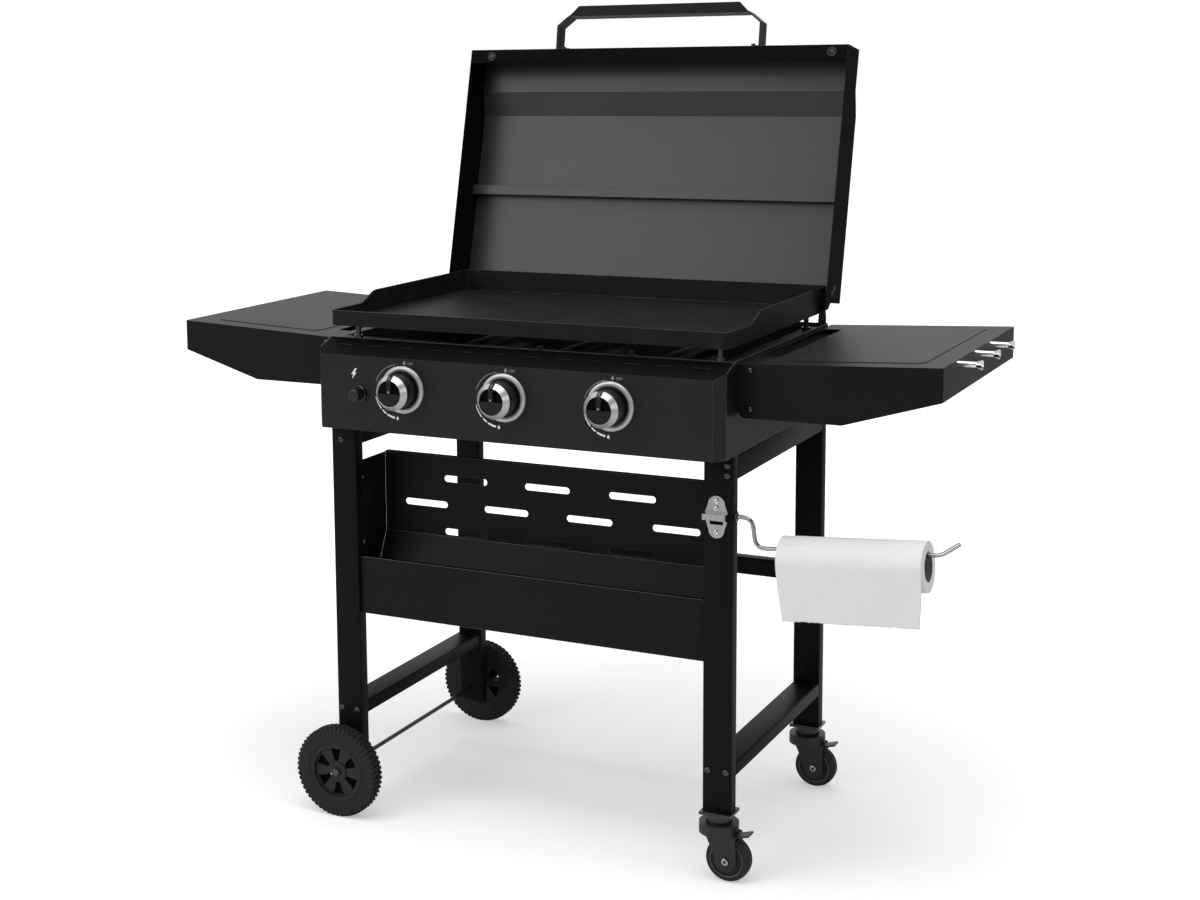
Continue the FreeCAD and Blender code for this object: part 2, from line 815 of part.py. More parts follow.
def knobBezels():
    rings = [bezelRing(x, knobHeight, bezelRadius, bezelHole) for x in knobX]
    rings.append(bezelRing(igniterX, igniterHeight, igniterBezelRadius, igniterButtonRadius + 1.0))
    return Part.makeCompound(rings)


# Knob with a tapered face ring, and its valve stem
def knob(index):
    x = knobX[index]
    face = -panelFront - knobReach
    back = -panelFront - 1.0
    hub = rod(knobHubRadius, vec(x, back, knobHeight), vec(x, face + knobFaceDepth, knobHeight))
    cone = Part.makeCone(knobFaceRadius, knobTipRadius, knobFaceDepth,
                         vec(x, face + knobFaceDepth, knobHeight), vec(0, -1, 0))
    body = fuse([hub, cone])
    depth = 18.0
    body = body.cut(rod(stemRadius, vec(x, back + 1, knobHeight), vec(x, back - depth, knobHeight)))
    tip = vec(x, back - depth, knobHeight)
    stem = rod(stemRadius, tip, vec(x, valveFront() + 10.0, knobHeight))
    return Part.makeCompound([body, stem])


def valveFront():
    return -panelFront + panelSheet + 3.0


# Valves stand on the manifold and push into the burner necks
def gasValve(x):
    y0 = valveFront()
    top = knobHeight + valveWidth / 2
    bottom = knobHeight - manifoldDrop
    half = valveWidth / 2
    body = block(x - half, x + half, y0, y0 + 32.0, knobHeight - half, top)
    tail = rod(valveTailRadius, vec(x, manifoldY, knobHeight - half + 1),
               vec(x, manifoldY, bottom + manifoldRadius + 1.0))
    riser = rod(5.0, vec(x, y0 + 26.0, top - 1), vec(x, y0 + 26.0, burnerHeight))
    jet = rod(4.0, vec(x, y0 + 22.0, burnerHeight), vec(x, firewallY + 14.0, burnerHeight))
    body = fuse([body, tail, riser, jet])
    return body.cut(rod(stemRadius + runningGap, vec(x, y0 - 1, knobHeight), vec(x, y0 + 10.5, knobHeight)))


def gasValves():
    return Part.makeCompound([gasValve(x) for x in knobX])


def manifoldEnd():
    return inletX + inletRadius


def gasManifold():
    z = knobHeight - manifoldDrop
    start = knobX[0] - 40.0
    end = manifoldEnd()
    pipe = rod(manifoldRadius, vec(start, manifoldY, z), vec(end, manifoldY, z))
    bore = rod(manifoldRadius - 2.0, vec(start + 3.0, manifoldY, z), vec(end + 1, manifoldY, z))
    pipe = pipe.cut(bore)
    for x in knobX:
        pipe = pipe.cut(rod(valveTailRadius, vec(x, manifoldY, z), vec(x, manifoldY, z + 30)))
    return pipe.cut(rod(inletRadius - 4.0, vec(inletX, manifoldY, z), vec(inletX, manifoldY, z - 30)))


# Inlet at the right end of the manifold, pointing down through the open bottom
def gasInlet():
    z = knobHeight - manifoldDrop
    end = manifoldEnd()
    x = inletX
    low = z - manifoldRadius - 4.0
    half = manifoldRadius + 4.0
    cap = block(x - inletRadius, end + 4.0, manifoldY - half, manifoldY + half, low, z + half)
    stub = rod(inletRadius, vec(x, manifoldY, low + 2.0), vec(x, manifoldY, low - inletLength))
    seat = rod(manifoldRadius + seamGap, vec(x - 40, manifoldY, z), vec(end, manifoldY, z))
    bore = rod(inletRadius - 4.0, vec(x, manifoldY, z), vec(x, manifoldY, low - inletLength - 1))
    return fuse([stub, cap]).cut(seat).cut(bore)


# Burner tubes, closed at the back, with a narrow neck through the front wall
def burner(x):
    start = burnerStart
    neckEnd = firewallY - 6.0
    tube = rod(burnerRadius, vec(x, start, burnerHeight), vec(x, burnerEnd, burnerHeight))
    neck = rod(burnerNeckRadius(), vec(x, neckEnd, burnerHeight), vec(x, start + 2, burnerHeight))
    inner = rod(burnerRadius - burnerWall, vec(x, start + 2, burnerHeight),
                vec(x, burnerEnd - 2, burnerHeight))
    mouth = rod(burnerNeckRadius() - burnerWall, vec(x, neckEnd - 1, burnerHeight),
                vec(x, start + 3, burnerHeight))
    foot = bodyBottom + burnerFootRise
    half = burnerFootWidth / 2
    leg = block(x - half, x + half, burnerEnd - 6, burnerEnd - 2, foot, burnerHeight - burnerRadius + 2)
    strap = block(x - half, x + half, burnerEnd - 6, frameDepth - bodySheet, foot, foot + 2)
    shell = fuse([tube, neck, leg, strap])
    return shell.cut(inner).cut(mouth)


def burners():
    return Part.makeCompound([burner(x) for x in knobX])


# Igniter: the housing behind the panel and its push button
def igniterHousing():
    y0 = -panelFront + panelSheet
    place = vec(igniterX, y0, igniterHeight)
    body = rod(15.0, place, vec(igniterX, y0 + 36.0, igniterHeight))
    wide = rod(igniterButtonRadius + looseGap, vec(igniterX, y0 - 1, igniterHeight),
               vec(igniterX, y0 + igniterTravel + looseGap, igniterHeight))
    narrow = rod(igniterButtonRadius - 2.0 + 0.3, vec(igniterX, y0 - 1, igniterHeight),
                 vec(igniterX, y0 + 24.0, igniterHeight))
    return body.cut(wide).cut(narrow)


def igniterButton():
    face = -panelFront - igniterReach
    shoulder = -panelFront - 1.0
    cap = rod(igniterButtonRadius, vec(igniterX, face, igniterHeight),
              vec(igniterX, shoulder - igniterTravel + 5.5, igniterHeight))
    front = [e for e in cap.Edges if abs(e.CenterOfMass.y - face) < 0.01]
    cap = cap.makeFillet(2.0, front)
    stem = rod(igniterButtonRadius - 2.0, vec(igniterX, shoulder, igniterHeight),
               vec(igniterX, -panelFront + 16.0, igniterHeight))
    return fuse([cap, stem])


# Spark electrodes beside each burner, on small feet at the front wall
def electrodes():
    pins = []
    for x in knobX:
        px = x + burnerRadius + 10.0
        foot = block(px - 8, px + 8, firewallY + bodySheet, firewallY + bodySheet + 4, burnerHeight - 10,
                     burnerHeight + 10)
        pins.append(fuse([foot, rod(3.0, vec(px, firewallY + 4, burnerHeight), vec(px, 70, burnerHeight))]))
    return Part.makeCompound(pins)


# Griddle tray with a low front wall, side walls that rise in a ramp, and a drain at the back
def griddlePlate():
    outer = roundedBlock(griddleLeft, griddleRight, griddleFront, griddleBack, griddleBottom,
                         griddleBackTop, griddleCorner)
    inner = roundedBlock(griddleLeft + griddleWall, griddleRight - griddleWall, griddleFront + griddleWall,
                         griddleBack - griddleWall, plateTop, griddleBackTop + 5, griddleCorner - griddleWall)
    side = [(griddleFront - 1, griddleFrontTop)]
    steps = 8
    for i in range(steps + 1):
        t = i / steps
        ease = t * t * (3 - 2 * t)
        side.append((rampStart + t * (rampEnd - rampStart),
                     griddleFrontTop + ease * (griddleBackTop - griddleFrontTop)))
    side.append((griddleBack + 1, griddleBackTop))
    side.append((griddleBack + 1, griddleBackTop + 20))
    side.append((griddleFront - 1, griddleBackTop + 20))
    tray = outer.cut(prismX(side, -50, frameWidth + 50)).cut(inner)
    middle = frameWidth / 2
    half = drainWidth / 2
    y1 = griddleBack - griddleWall - spoutWall
    y0 = y1 - drainDepth
    spout = block(middle - half - spoutWall, middle + half + spoutWall, y0 - spoutWall, y1 + spoutWall,
                  griddleBottom - spoutLength, griddleBottom + 1)
    drain = block(middle - half, middle + half, y0, y1, griddleBottom - spoutLength - 1, plateTop + 1)
    tray = fuse([tray, spout]).cut(drain)
    return tray


def griddleFeet():
    feet = []
    for x, y in footPlaces():
        base = rod(footBaseRadius, vec(x, y, bodyTop), vec(x, y, bodyTop + footBaseHeight))
        stud = rod(footRadius, vec(x, y, bodyTop + footBaseHeight), vec(x, y, griddleBottom))
        feet.append(fuse([base, stud]))
    return Part.makeCompound(feet)


def footPlaces():
    front = firewallY + 5.5
    left = bodyFlange / 2
    right = frameWidth - bodyFlange / 2
    return [(left + 46.0, front), (right - 5.0 - bodyFlange / 2, front), (left, footBackY), (right, footBackY)]


# Grease cup: an open box that slides out on the two hooks of the back wall
def greaseCup():
    middle = frameWidth / 2
    y0 = frameDepth + 1.0
    y1 = y0 + cupDepth
    half = cupWidth / 2
    outer = block(middle - half, middle + half, y0, y1, cupTop - cupHeight, cupTop - 4.0)
    inner = block(middle - half + cupWall, middle + half - cupWall, y0 + cupWall, y1 - cupWall,
                  cupTop - cupHeight + cupWall, cupTop)
    lip = block(middle - half - 7.0, middle + half + 7.0, y0, y1, cupTop - 5.5, cupTop - 4.0)
    return fuse([outer, lip]).cut(inner)


# Hood. A point is given along the rim from the back edge and in depth from the rim plane.
def hoodPoint(along, depth):
    turn = math.radians(180.0 - hoodOpenAngle)
    da = along - hoodPivotAlong
    dp = depth - hoodPivotDepth
    y = pivotY + da * math.cos(turn) + dp * math.sin(turn)
    z = pivotZ + da * math.sin(turn) - dp * math.cos(turn)
    return (y, z)


def hoodPrism(points, x0, x1):
    return prismX([hoodPoint(a, p) for a, p in points], x0, x1)


hoodOutline = [
    (0.0, 0.0),
    (hoodRim, 0.0),
    (hoodRim + hoodFrontLean, hoodFrontDepth),
    (hoodFacetAlong, hoodFacetDepth),
    (hoodTopAlong, hoodTopDepth),
    (hoodBackAlong, hoodBackDepth),
]


def hoodEnds():
    return Part.makeCompound([hoodEnd(-1), hoodEnd(1)])


def hoodEnd(side):
    x0 = hoodLeft if side < 0 else hoodRight - hoodSheet
    end = hoodPrism(hoodOutline, x0, x0 + hoodSheet)
    for a, p in hingeBoltPlaces():
        y, z = hoodPoint(a, p)
        end = end.cut(rod(boltRadius + boltGap, vec(x0 - 1, y, z), vec(x0 + hoodSheet + 1, y, z)))
    return end


def hoodShell():
    edge = hoodBackAlong * hoodBackEdge / hoodBackDepth
    path = [(hoodRim - hoodFlange, 0.0)] + hoodOutline[1:] + [(edge, hoodBackEdge)]
    shell = hoodPrism(bentSheet(path, hoodSheet), hoodLeft + hoodSheet, hoodRight - hoodSheet)
    for x in bumperX:
        place = flangePoint(x, -1.0)
        shell = shell.cut(Part.makeCylinder(boltRadius * 0.5 + boltGap, 5, place, hoodDirection(0, 1)))
    for x, shift in handleBoltPlaces():
        place = frontWallPoint(x, 10.0, shift)
        shell = shell.cut(Part.makeCylinder(boltRadius + boltGap, 20, place, frontWallOut().negative()))
    return shell


# The direction that one step along and one step deep have in space
def hoodDirection(da, dp):
    y0, z0 = hoodPoint(0, 0)
    y1, z1 = hoodPoint(da, dp)
    return vec(0, y1 - y0, z1 - z0)


# A place on the flange that runs along the front rim
def flangePoint(x, depth):
    y, z = hoodPoint(bumperAlong, depth)
    return vec(x, y, z)


# The hood's front wall leans, and has its own directions: outward, and up its slope
def frontWallOut():
    length = math.hypot(hoodFrontLean, hoodFrontDepth)
    return hoodDirection(hoodFrontDepth / length, -hoodFrontLean / length)


def frontWallUp():
    length = math.hypot(hoodFrontLean, hoodFrontDepth)
    return hoodDirection(hoodFrontLean / length, hoodFrontDepth / length)


def frontWallPoint(x, out, shift):
    y, z = hoodPoint(hoodRim + hoodFrontLean / 2, hoodFrontDepth / 2)
    return vec(x, y, z).add(frontWallOut() * out).add(frontWallUp() * shift)


def topInner(along):
    share = (along - hoodBackAlong) / (hoodTopAlong - hoodBackAlong)
    return hoodBackDepth + share * (hoodTopDepth - hoodBackDepth) - hoodSheet - seamGap


def hoodRib():
    a0 = ribAlong
    a1 = ribAlong + ribWidth
    low = topInner(a0) - ribDepth
    path = [(a0, topInner(a0)), (a0, low), (a1, low), (a1, topInner(a1))]
    return hoodPrism(bentSheet(path, hoodSheet), hoodLeft + hoodSheet, hoodRight - hoodSheet)


# Rubber bumpers on the front flange, which rest on the tray when the hood is shut
def hoodBumpers():
    pads = []
    for x in bumperX:
        outward = hoodDirection(0, -1)
        pad = Part.makeCylinder(bumperRadius, bumperThickness, flangePoint(x, 0), outward)
        well = Part.makeCylinder(bumperScrewRadius + boltGap, bumperThickness,
                                 flangePoint(x, -bumperThickness / 2), outward)
        hole = Part.makeCylinder(boltRadius * 0.5 + boltGap, 9, flangePoint(x, 3), outward)
        pads.append(pad.cut(well).cut(hole))
    return Part.makeCompound(pads)


def handleFootX(side):
    return frameWidth / 2 + side * (handleWidth / 2 - handleFoot / 2)


def handleBoltPlaces():
    spots = (handleShift - handleBoltSpread, handleShift + handleBoltSpread)
    return [(handleFootX(side), shift) for side in (-1, 1) for shift in spots]


# Handle: one flat strip, bent into two feet, two legs with a slant, and the grip. A lip
# stands along the grip's front edge, cut at the slant of the legs.
def hoodHandle():
    middle = frameWidth / 2
    half = handleWidth / 2
    grip = handleGrip / 2
    path = [
        (middle - half + handleFoot, 0.0),
        (middle - half, 0.0),
        (middle - half, handleRise),
        (middle - grip, handleReach),
        (middle + grip, handleReach),
        (middle + half, handleRise),
        (middle + half, 0.0),
        (middle + half - handleFoot, 0.0),
    ]
    outline = bentSheet(path, -handleThickness)
    front = handleShift - handleStrip / 2
    corners = [frontWallPoint(x, out, front) for x, out in outline]
    strip = prism([(c.x, c.y, c.z) for c in corners], frontWallUp() * handleStrip)
    top = handleLipWidth / 2
    low = handleReach - handleThickness / 2
    plan = [
        (middle - grip, low),
        (middle + grip, low),
        (middle + top, handleReach + handleLip),
        (middle - top, handleReach + handleLip),
    ]
    corners = [frontWallPoint(x, out, front) for x, out in plan]
    lip = prism([(c.x, c.y, c.z) for c in corners], frontWallUp() * handleLipSheet)
    strip = fuse([strip, lip])
    for x, shift in handleBoltPlaces():
        place = frontWallPoint(x, -5.0, shift)
        strip = strip.cut(Part.makeCylinder(boltRadius + boltGap, 15, place, frontWallOut()))
    return strip


def hingeBoltPlaces():
    return [(30.0, 38.0), (20.0, 44.0 - 17.0)]


# Hinge arms inside the hood's ends, each with a bore on the body's pin
def hoodHingeArm(side):
    x1 = hoodLeft + hoodSheet if side < 0 else hoodRight - hoodSheet
    x0 = x1 - side * hingeArm
    low, high = sorted((x0, x1))
    outline = [(-14.0, 8.0), (-10.0, 2.0), (0.0, 2.0), (40.0, 22.0)]
    outline += [(40.0, 50.0), (24.0, 50.0), (-12.0, 20.0)]
    arm = hoodPrism(outline, low, high)
    arm = arm.cut(rod(pinRadius + runningGap, vec(low - 1, pivotY, pivotZ), vec(high + 1, pivotY, pivotZ)))
    for a, p in hingeBoltPlaces():
        y, z = hoodPoint(a, p)
        arm = arm.cut(rod(boltRadius + boltGap, vec(low - 1, y, z), vec(high + 1, y, z)))
    return arm


def hoodHingeArms():
    return Part.makeCompound([hoodHingeArm(-1), hoodHingeArm(1)])


# Screws of the hinge arms and of the handle
def hoodScrews():
    screws = []
    for side in (-1, 1):
        face = hoodLeft if side < 0 else hoodRight
        for a, p in hingeBoltPlaces():
            y, z = hoodPoint(a, p)
            length = hoodSheet + hingeArm - 0.5
            head = rod(4.5, vec(face, y, z), vec(face + side * 2.0, y, z))
            screws.append(fuse([head, rod(boltRadius, vec(face, y, z), vec(face - side * length, y, z))]))
    for x, shift in handleBoltPlaces():
        place = frontWallPoint(x, -hoodSheet, shift)
        nut = Part.makeCylinder(boltHeadRadius, 4.0, place, frontWallOut().negative())
        shank = Part.makeCylinder(boltRadius, hoodSheet + handleThickness + 1.0, place, frontWallOut())
        head = Part.makeCylinder(boltHeadRadius - 1.0, handleHeadHeight,
                                 frontWallPoint(x, handleThickness, shift), frontWallOut())
        screws.append(fuse([nut, shank, head]))
    for x in bumperX:
        seat = flangePoint(x, -bumperThickness / 2)
        head = Part.makeCylinder(bumperScrewRadius, 1.2, seat, hoodDirection(0, -1))
        shank = Part.makeCylinder(boltRadius * 0.5, bumperThickness / 2 + hoodSheet + 1.5, seat,
                                  hoodDirection(0, 1))
        screws.append(fuse([head, shank]))
    return Part.makeCompound(screws)


# Hinge brackets inside the body's side walls, each with its pin
def hingeBracket(side):
    wall = bodySheet if side < 0 else frameWidth - bodySheet
    x0, x1 = sorted((wall, wall - side * hingePlate))
    outline = [
        (pivotY - 20.0, bodyTop - 52.0),
        (pivotY + 20.0, bodyTop - 52.0),
        (pivotY + 20.0, pivotZ - 24.0),
        (pivotY + 8.0, pivotZ + 8.0),
        (pivotY - 8.0, pivotZ + 8.0),
        (pivotY - 20.0, pivotZ - 24.0),
    ]
    plate = prismX(outline, x0, x1)
    middle = frameWidth / 2
    reach = middle + hoodSideGap - hoodSheet
    end = middle + side * (reach - 0.2)
    pin = rod(pinRadius, vec(wall - side * 1.0, pivotY, pivotZ), vec(end, pivotY, pivotZ))
    collarEnd = middle + side * (reach - hingeArm - 0.3)
    collar = rod(7.0, vec(wall - side * 1.0, pivotY, pivotZ), vec(collarEnd, pivotY, pivotZ))
    return fuse([plate, pin, collar])


def hingeBrackets():
    return Part.makeCompound([hingeBracket(-1), hingeBracket(1)])


# Side shelf: a pressed tray with an apron, a long slot beside the body and a raised field
def shelfTop(u):
    return shelfTopInner + shelfRise * u / shelfLength


def rightShelf():
    x0 = frameWidth
    bottomEnd = shelfTop(shelfLength) - shelfEndHeight

    def outline(inset):
        drop = inset
        return [
            (x0 + inset, shelfTopInner - drop),
            (x0 + shelfLength - inset, shelfTop(shelfLength) - drop),
            (x0 + shelfLength - inset, bottomEnd if inset == 0 else bottomEnd - 200.0),
            (x0 + shelfApronFlat, shelfApronBottom if inset == 0 else shelfApronBottom - 200.0),
            (x0 + inset, shelfApronBottom if inset == 0 else shelfApronBottom - 200.0),
        ]

    outer = prismY(outline(0.0), shelfFront, shelfBack)
    low = bottomEnd - 2 * shelfSheet - shelfApron
    high = shelfTopInner + 2 * shelfApron
    plan = roundedBlock(x0 - 50, x0 + shelfLength, shelfFront, shelfBack, low, high, shelfCorner)
    outer = outer.common(plan)
    inner = prismY(outline(shelfSheet), shelfFront + shelfSheet, shelfBack - shelfSheet)
    planIn = roundedBlock(x0 - 50, x0 + shelfLength - shelfSheet, shelfFront + shelfSheet,
                          shelfBack - shelfSheet, low - 2 * shelfApron, high, shelfCorner - shelfSheet)
    inner = inner.common(planIn)
    angle = math.degrees(math.atan(shelfRise / shelfLength))

    def tilted(shape):
        shape.rotate(vec(x0, 0, shelfTopInner), vec(0, 1, 0), -angle)
        return shape

    top = shelfTopInner
    field = tilted(roundedBlock(x0 + raisedStart, x0 + raisedEnd, raisedFront, raisedBack,
                                top - shelfSheet / 2, top + raisedHeight, raisedCorner))
    under = tilted(roundedBlock(x0 + raisedStart + shelfSheet, x0 + raisedEnd - shelfSheet,
                                raisedFront + shelfSheet, raisedBack - shelfSheet, top - 2 * shelfSheet,
                                top + raisedHeight - shelfSheet, raisedCorner - shelfSheet))
    slot = tilted(roundedBlock(x0 + shelfSlotStart, x0 + shelfSlotStart + shelfSlotWidth, shelfSlotFront,
                               shelfSlotBack, top - 10, top + 10, shelfSlotCorner))
    corner = block(x0 - 1, x0 + apronCorner, shelfFront - 1, shelfBack + 1, shelfApronBottom - 1,
                   shelfApronBottom + apronCorner)
    pivot = vec(x0 + apronCorner, shelfFront - 2, shelfApronBottom + apronCorner)
    corner = corner.cut(rod(apronCorner, pivot, pivot.add(vec(0, shelfBack, 0))))
    shelf = outer.cut(inner).fuse(field).cut(under).cut(slot).cut(corner)
    for drop in shelfScrewDrops:
        place = vec(x0 + shelfScrewX, shelfFront - 1, top - drop)
        shelf = shelf.cut(rod(shelfScrewRadius + boltGap, place, place.add(vec(0, 5, 0))))
    return shelf.removeSplitter()


def shelf(side):
    shape = rightShelf()
    if side < 0:
        shape = shape.mirror(vec(frameWidth / 2, 0, 0), xAxis)
    return drill(shape, frameBolts)


# Brackets in the front inner corner of each shelf, which its front screws bite into
def shelfBrackets():
    brackets = []
    x0 = frameWidth + shelfSheet
    y0 = shelfFront + shelfSheet
    z1 = shelfTopInner - shelfSheet - bracketGap
    z0 = shelfTopInner - max(shelfScrewDrops) - 2 * shelfScrewHead
    plan = [
        (x0, y0),
        (x0 + bracketWidth, y0),
        (x0 + bracketWidth, y0 + bracketSheet),
        (x0 + bracketSheet, y0 + bracketSheet),
        (x0 + bracketSheet, y0 + bracketReach),
        (x0, y0 + bracketReach),
    ]
    bracket = prismZ(plan, z0, z1)
    for drop in shelfScrewDrops:
        place = vec(frameWidth + shelfScrewX, y0 - 1, shelfTopInner - drop)
        bracket = bracket.cut(rod(shelfScrewRadius, place, place.add(vec(0, bracketSheet + 2, 0))))
    brackets.append(bracket)
    brackets.append(bracket.mirror(vec(frameWidth / 2, 0, 0), xAxis))
    return Part.makeCompound(brackets)


# Tool pegs on the right shelf's end: a stem and a flared, hollow tip
def toolPegs():
    pegs = []
    face = frameWidth + shelfLength
    z = shelfTop(shelfLength) - pegDrop
    for y in pegY:
        stem = rod(pegRadius, vec(face, y, z), vec(face + pegLength, y, z))
        flare = vec(face + pegLength - pegTipLength, y, z)
        tip = Part.makeCone(pegRadius, pegTipRadius, pegTipLength, flare, xAxis)
        bowl = Part.makeCone(1.0, pegTipRadius - 1.5, 5.0, vec(face + pegLength - 5.0, y, z), xAxis)
        pegs.append(fuse([stem, tip]).cut(bowl))
    return Part.makeCompound(pegs)


# Bottle opener on the front of the right front leg
def bottleOpener():
    x = legMidRight + openerShift
    r = openerWidth / 2
    y1 = -openerSheet
    top = rod(r, vec(x, 0, openerTop - r), vec(x, y1, openerTop - r))
    low = rod(r - 1, vec(x, 0, openerBottom + r), vec(x, y1, openerBottom + r))
    half = catchWidth / 2
    outline = [
        (x - r + 1, openerBottom + r),
        (x + r - 1, openerBottom + r),
        (x + half, catchHeight - 8.0),
        (x + half, catchHeight + 2.0),
        (x + r, openerTop - r),
        (x - r, openerTop - r),
        (x - half, catchHeight + 2.0),
        (x - half, catchHeight - 8.0),
    ]
    plate = prismY(outline, y1, 0)
    ledge = block(x - half, x + half, -catchReach, -openerSheet / 2, catchHeight,
                  catchHeight + openerSheet)
    lip = block(x - half, x + half, -catchReach, -catchReach + openerSheet, catchHeight - catchLip,
                catchHeight + openerSheet)
    cheeks = []
    for side in (-1, 1):
        c0, c1 = sorted((x + side * half, x + side * (half - openerSheet)))
        cheeks.append(prismX([(-openerSheet / 2, catchHeight - 12.0), (-openerSheet / 2, catchHeight + 1),
                              (-catchReach + 1, catchHeight + 1), (-catchReach + 1, catchHeight - catchLip)],
                             c0, c1))
    opener = fuse([top, low, plate, ledge, lip] + cheeks)
    heads = [rod(4.0, vec(x, y1 + 0.5, z), vec(x, y1 - 1.8, z)) for z in openerScrewHeights()]
    return fuse([opener] + heads)


def openerScrewHeights():
    return [openerTop - 8.0, openerTop - 20.0, openerBottom + 11.0]


# Towel rod: straight runs joined by arcs, from the leg to the turned-up tip
def towelRod():
    x0 = frameWidth
    points = [
        vec(x0, rodY, rodStartZ),
        vec(x0 + rodBendX, rodY, rodStartZ),
        vec(x0 + rodLowX, rodY, rodLowZ),
        vec(x0 + rodEndX, rodY, rodEndZ),
        vec(x0 + rodTipX, rodY, rodTipZ),
    ]
    radii = [9.0, 9.0, 14.0]
    edges = []
    start = points[0]
    for i, radius in enumerate(radii):
        corner = points[i + 1]
        into = corner.sub(points[i]).normalize()
        away = points[i + 2].sub(corner).normalize()
        turn = into.getAngle(away)
        back = radius * math.tan(turn / 2)
        first = corner.sub(into * back)
        last = corner.add(away * back)
        bisector = away.sub(into).normalize()
        centre = corner.add(bisector * (radius / math.cos(turn / 2)))
        middle = centre.sub(bisector * radius)
        edges.append(Part.LineSegment(start, first).toShape())
        edges.append(Part.Arc(first, middle, last).toShape())
        start = last
    edges.append(Part.LineSegment(start, points[-1]).toShape())
    path = Part.Wire(edges)
    ring = Part.Wire([Part.makeCircle(rodRadius, points[0], xAxis)])
    shape = path.makePipeShell([ring], True, True)
    flange = rod(9.0, vec(x0, rodY, rodStartZ), vec(x0 + 3.0, rodY, rodStartZ))
    return fuse([shape, flange])


# The roll hangs on the rod, so its axis runs below the rod's and has the rod's slope
def rollFrame():
    slope = (rodEndZ - rodLowZ) / (rodEndX - rodLowX)
    hang = coreRadius - rodRadius - looseGap
    along = vec(1, 0, slope).normalize()
    start = vec(frameWidth + rollStart, rodY, rodLowZ + slope * (rollStart - rodLowX))
    down = vec(along.z, 0, -along.x)
    return start.add(down * hang), along


def paperCore():
    start, along = rollFrame()
    outer = Part.makeCylinder(coreRadius + coreWall, rollLength, start, along)
    return outer.cut(Part.makeCylinder(coreRadius, rollLength + 2, start.sub(along), along))


def paperRoll():
    start, along = rollFrame()
    outer = Part.makeCylinder(rollRadius, rollLength, start, along)
    return outer.cut(Part.makeCylinder(coreRadius + coreWall, rollLength + 2, start.sub(along), along))


# The loose end of the paper hangs from the front of the roll
def paperTail():
    start, along = rollFrame()
    down = vec(along.z, 0, -along.x)
    y1 = rodY - rollRadius - looseGap
    first = start.add(down * 2.0)
    last = first.add(along * rollLength)
    low = down * (tailLength - 2.0)
    corners = [first, last, last.add(low), first.add(low)]
    return prism([(c.x, y1 - tailThickness, c.z) for c in corners], vec(0, tailThickness, 0))


nodes = {
    "leg_front_left": leg(0, 0),
    "leg_front_right": leg(1, 0),
    "leg_rear_left": leg(0, 1),
    "leg_rear_right": leg(1, 1),
    "rail_lower_left": lowerRail(0),
    "rail_lower_right": lowerRail(1),
    "rail_upper_left": upperRail(0),
    "rail_upper_right": upperRail(1),
    "rear_crossbar": crossbar(),
    "frame_bolts": frameBoltGroup(),
    "bin_panel": binPanel(),
    "bin_ends": binEnds(),
    "axle": axle(),
    "wheel_front": bigWheel(0),
    "wheel_rear": bigWheel(1),
    "tyre_front": tyre(0),
    "tyre_rear": tyre(1),
    "caster_mounts": casterMounts(),
    "caster_fork_front": casterFork(0),
    "caster_fork_rear": casterFork(1),
    "caster_wheel_front": casterWheel(0),
    "caster_wheel_rear": casterWheel(1),
    "brake_pedal_front": brakePedal(0),
    "brake_pedal_rear": brakePedal(1),
    "body_side_left": bodySide(-1),
    "body_side_right": bodySide(1),
    "body_front_wall": bodyFrontWall(),
    "body_back_wall": bodyBackWall(),
    "control_panel": controlPanel(),
    "control_bezels": knobBezels(),
    "knob_left": knob(0),
    "knob_middle": knob(1),
    "knob_right": knob(2),
    "gas_valves": gasValves(),
    "gas_manifold": gasManifold(),
    "gas_inlet": gasInlet(),
    "burners": burners(),
    "igniter_housing": igniterHousing(),
    "igniter_button": igniterButton(),
    "igniter_electrodes": electrodes(),
    "griddle_plate": griddlePlate(),
    "griddle_feet": griddleFeet(),
    "grease_cup": greaseCup(),
    "hood_shell": hoodShell(),
    "hood_ends": hoodEnds(),
    "hood_rib": hoodRib(),
    "hood_bumpers": hoodBumpers(),
    "hood_handle": hoodHandle(),
    "hood_hinge_arms": hoodHingeArms(),
    "hood_screws": hoodScrews(),
    "hinge_brackets": hingeBrackets(),
    "shelf_left": shelf(-1),
    "shelf_right": shelf(1),
    "shelf_brackets": shelfBrackets(),
    "tool_pegs": toolPegs(),
    "bottle_opener": bottleOpener(),
    "towel_rod": towelRod(),
    "paper_core": paperCore(),
    "paper_roll": paperRoll(),
    "paper_tail": paperTail(),
}

outlineBox = FreeCAD.BoundBox()
for shape in nodes.values():
    outlineBox.add(shape.optimalBoundingBox(False))
origin = vec(outlineBox.Center.x, outlineBox.Center.y, outlineBox.ZMin)

os.makedirs("parts", exist_ok=True)
for name, shape in nodes.items():
    shape.translate(origin.negative())
    shape.exportStep("parts/" + name + ".step")
print("pieces", len(nodes), "solids", sum(len(s.Solids) for s in nodes.values()))
print("size", round(outlineBox.XLength, 1), round(outlineBox.YLength, 1), round(outlineBox.ZLength, 1))
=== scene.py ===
import bpy
import bmesh
import json
import math
import numpy as np
from mathutils import Matrix, Vector


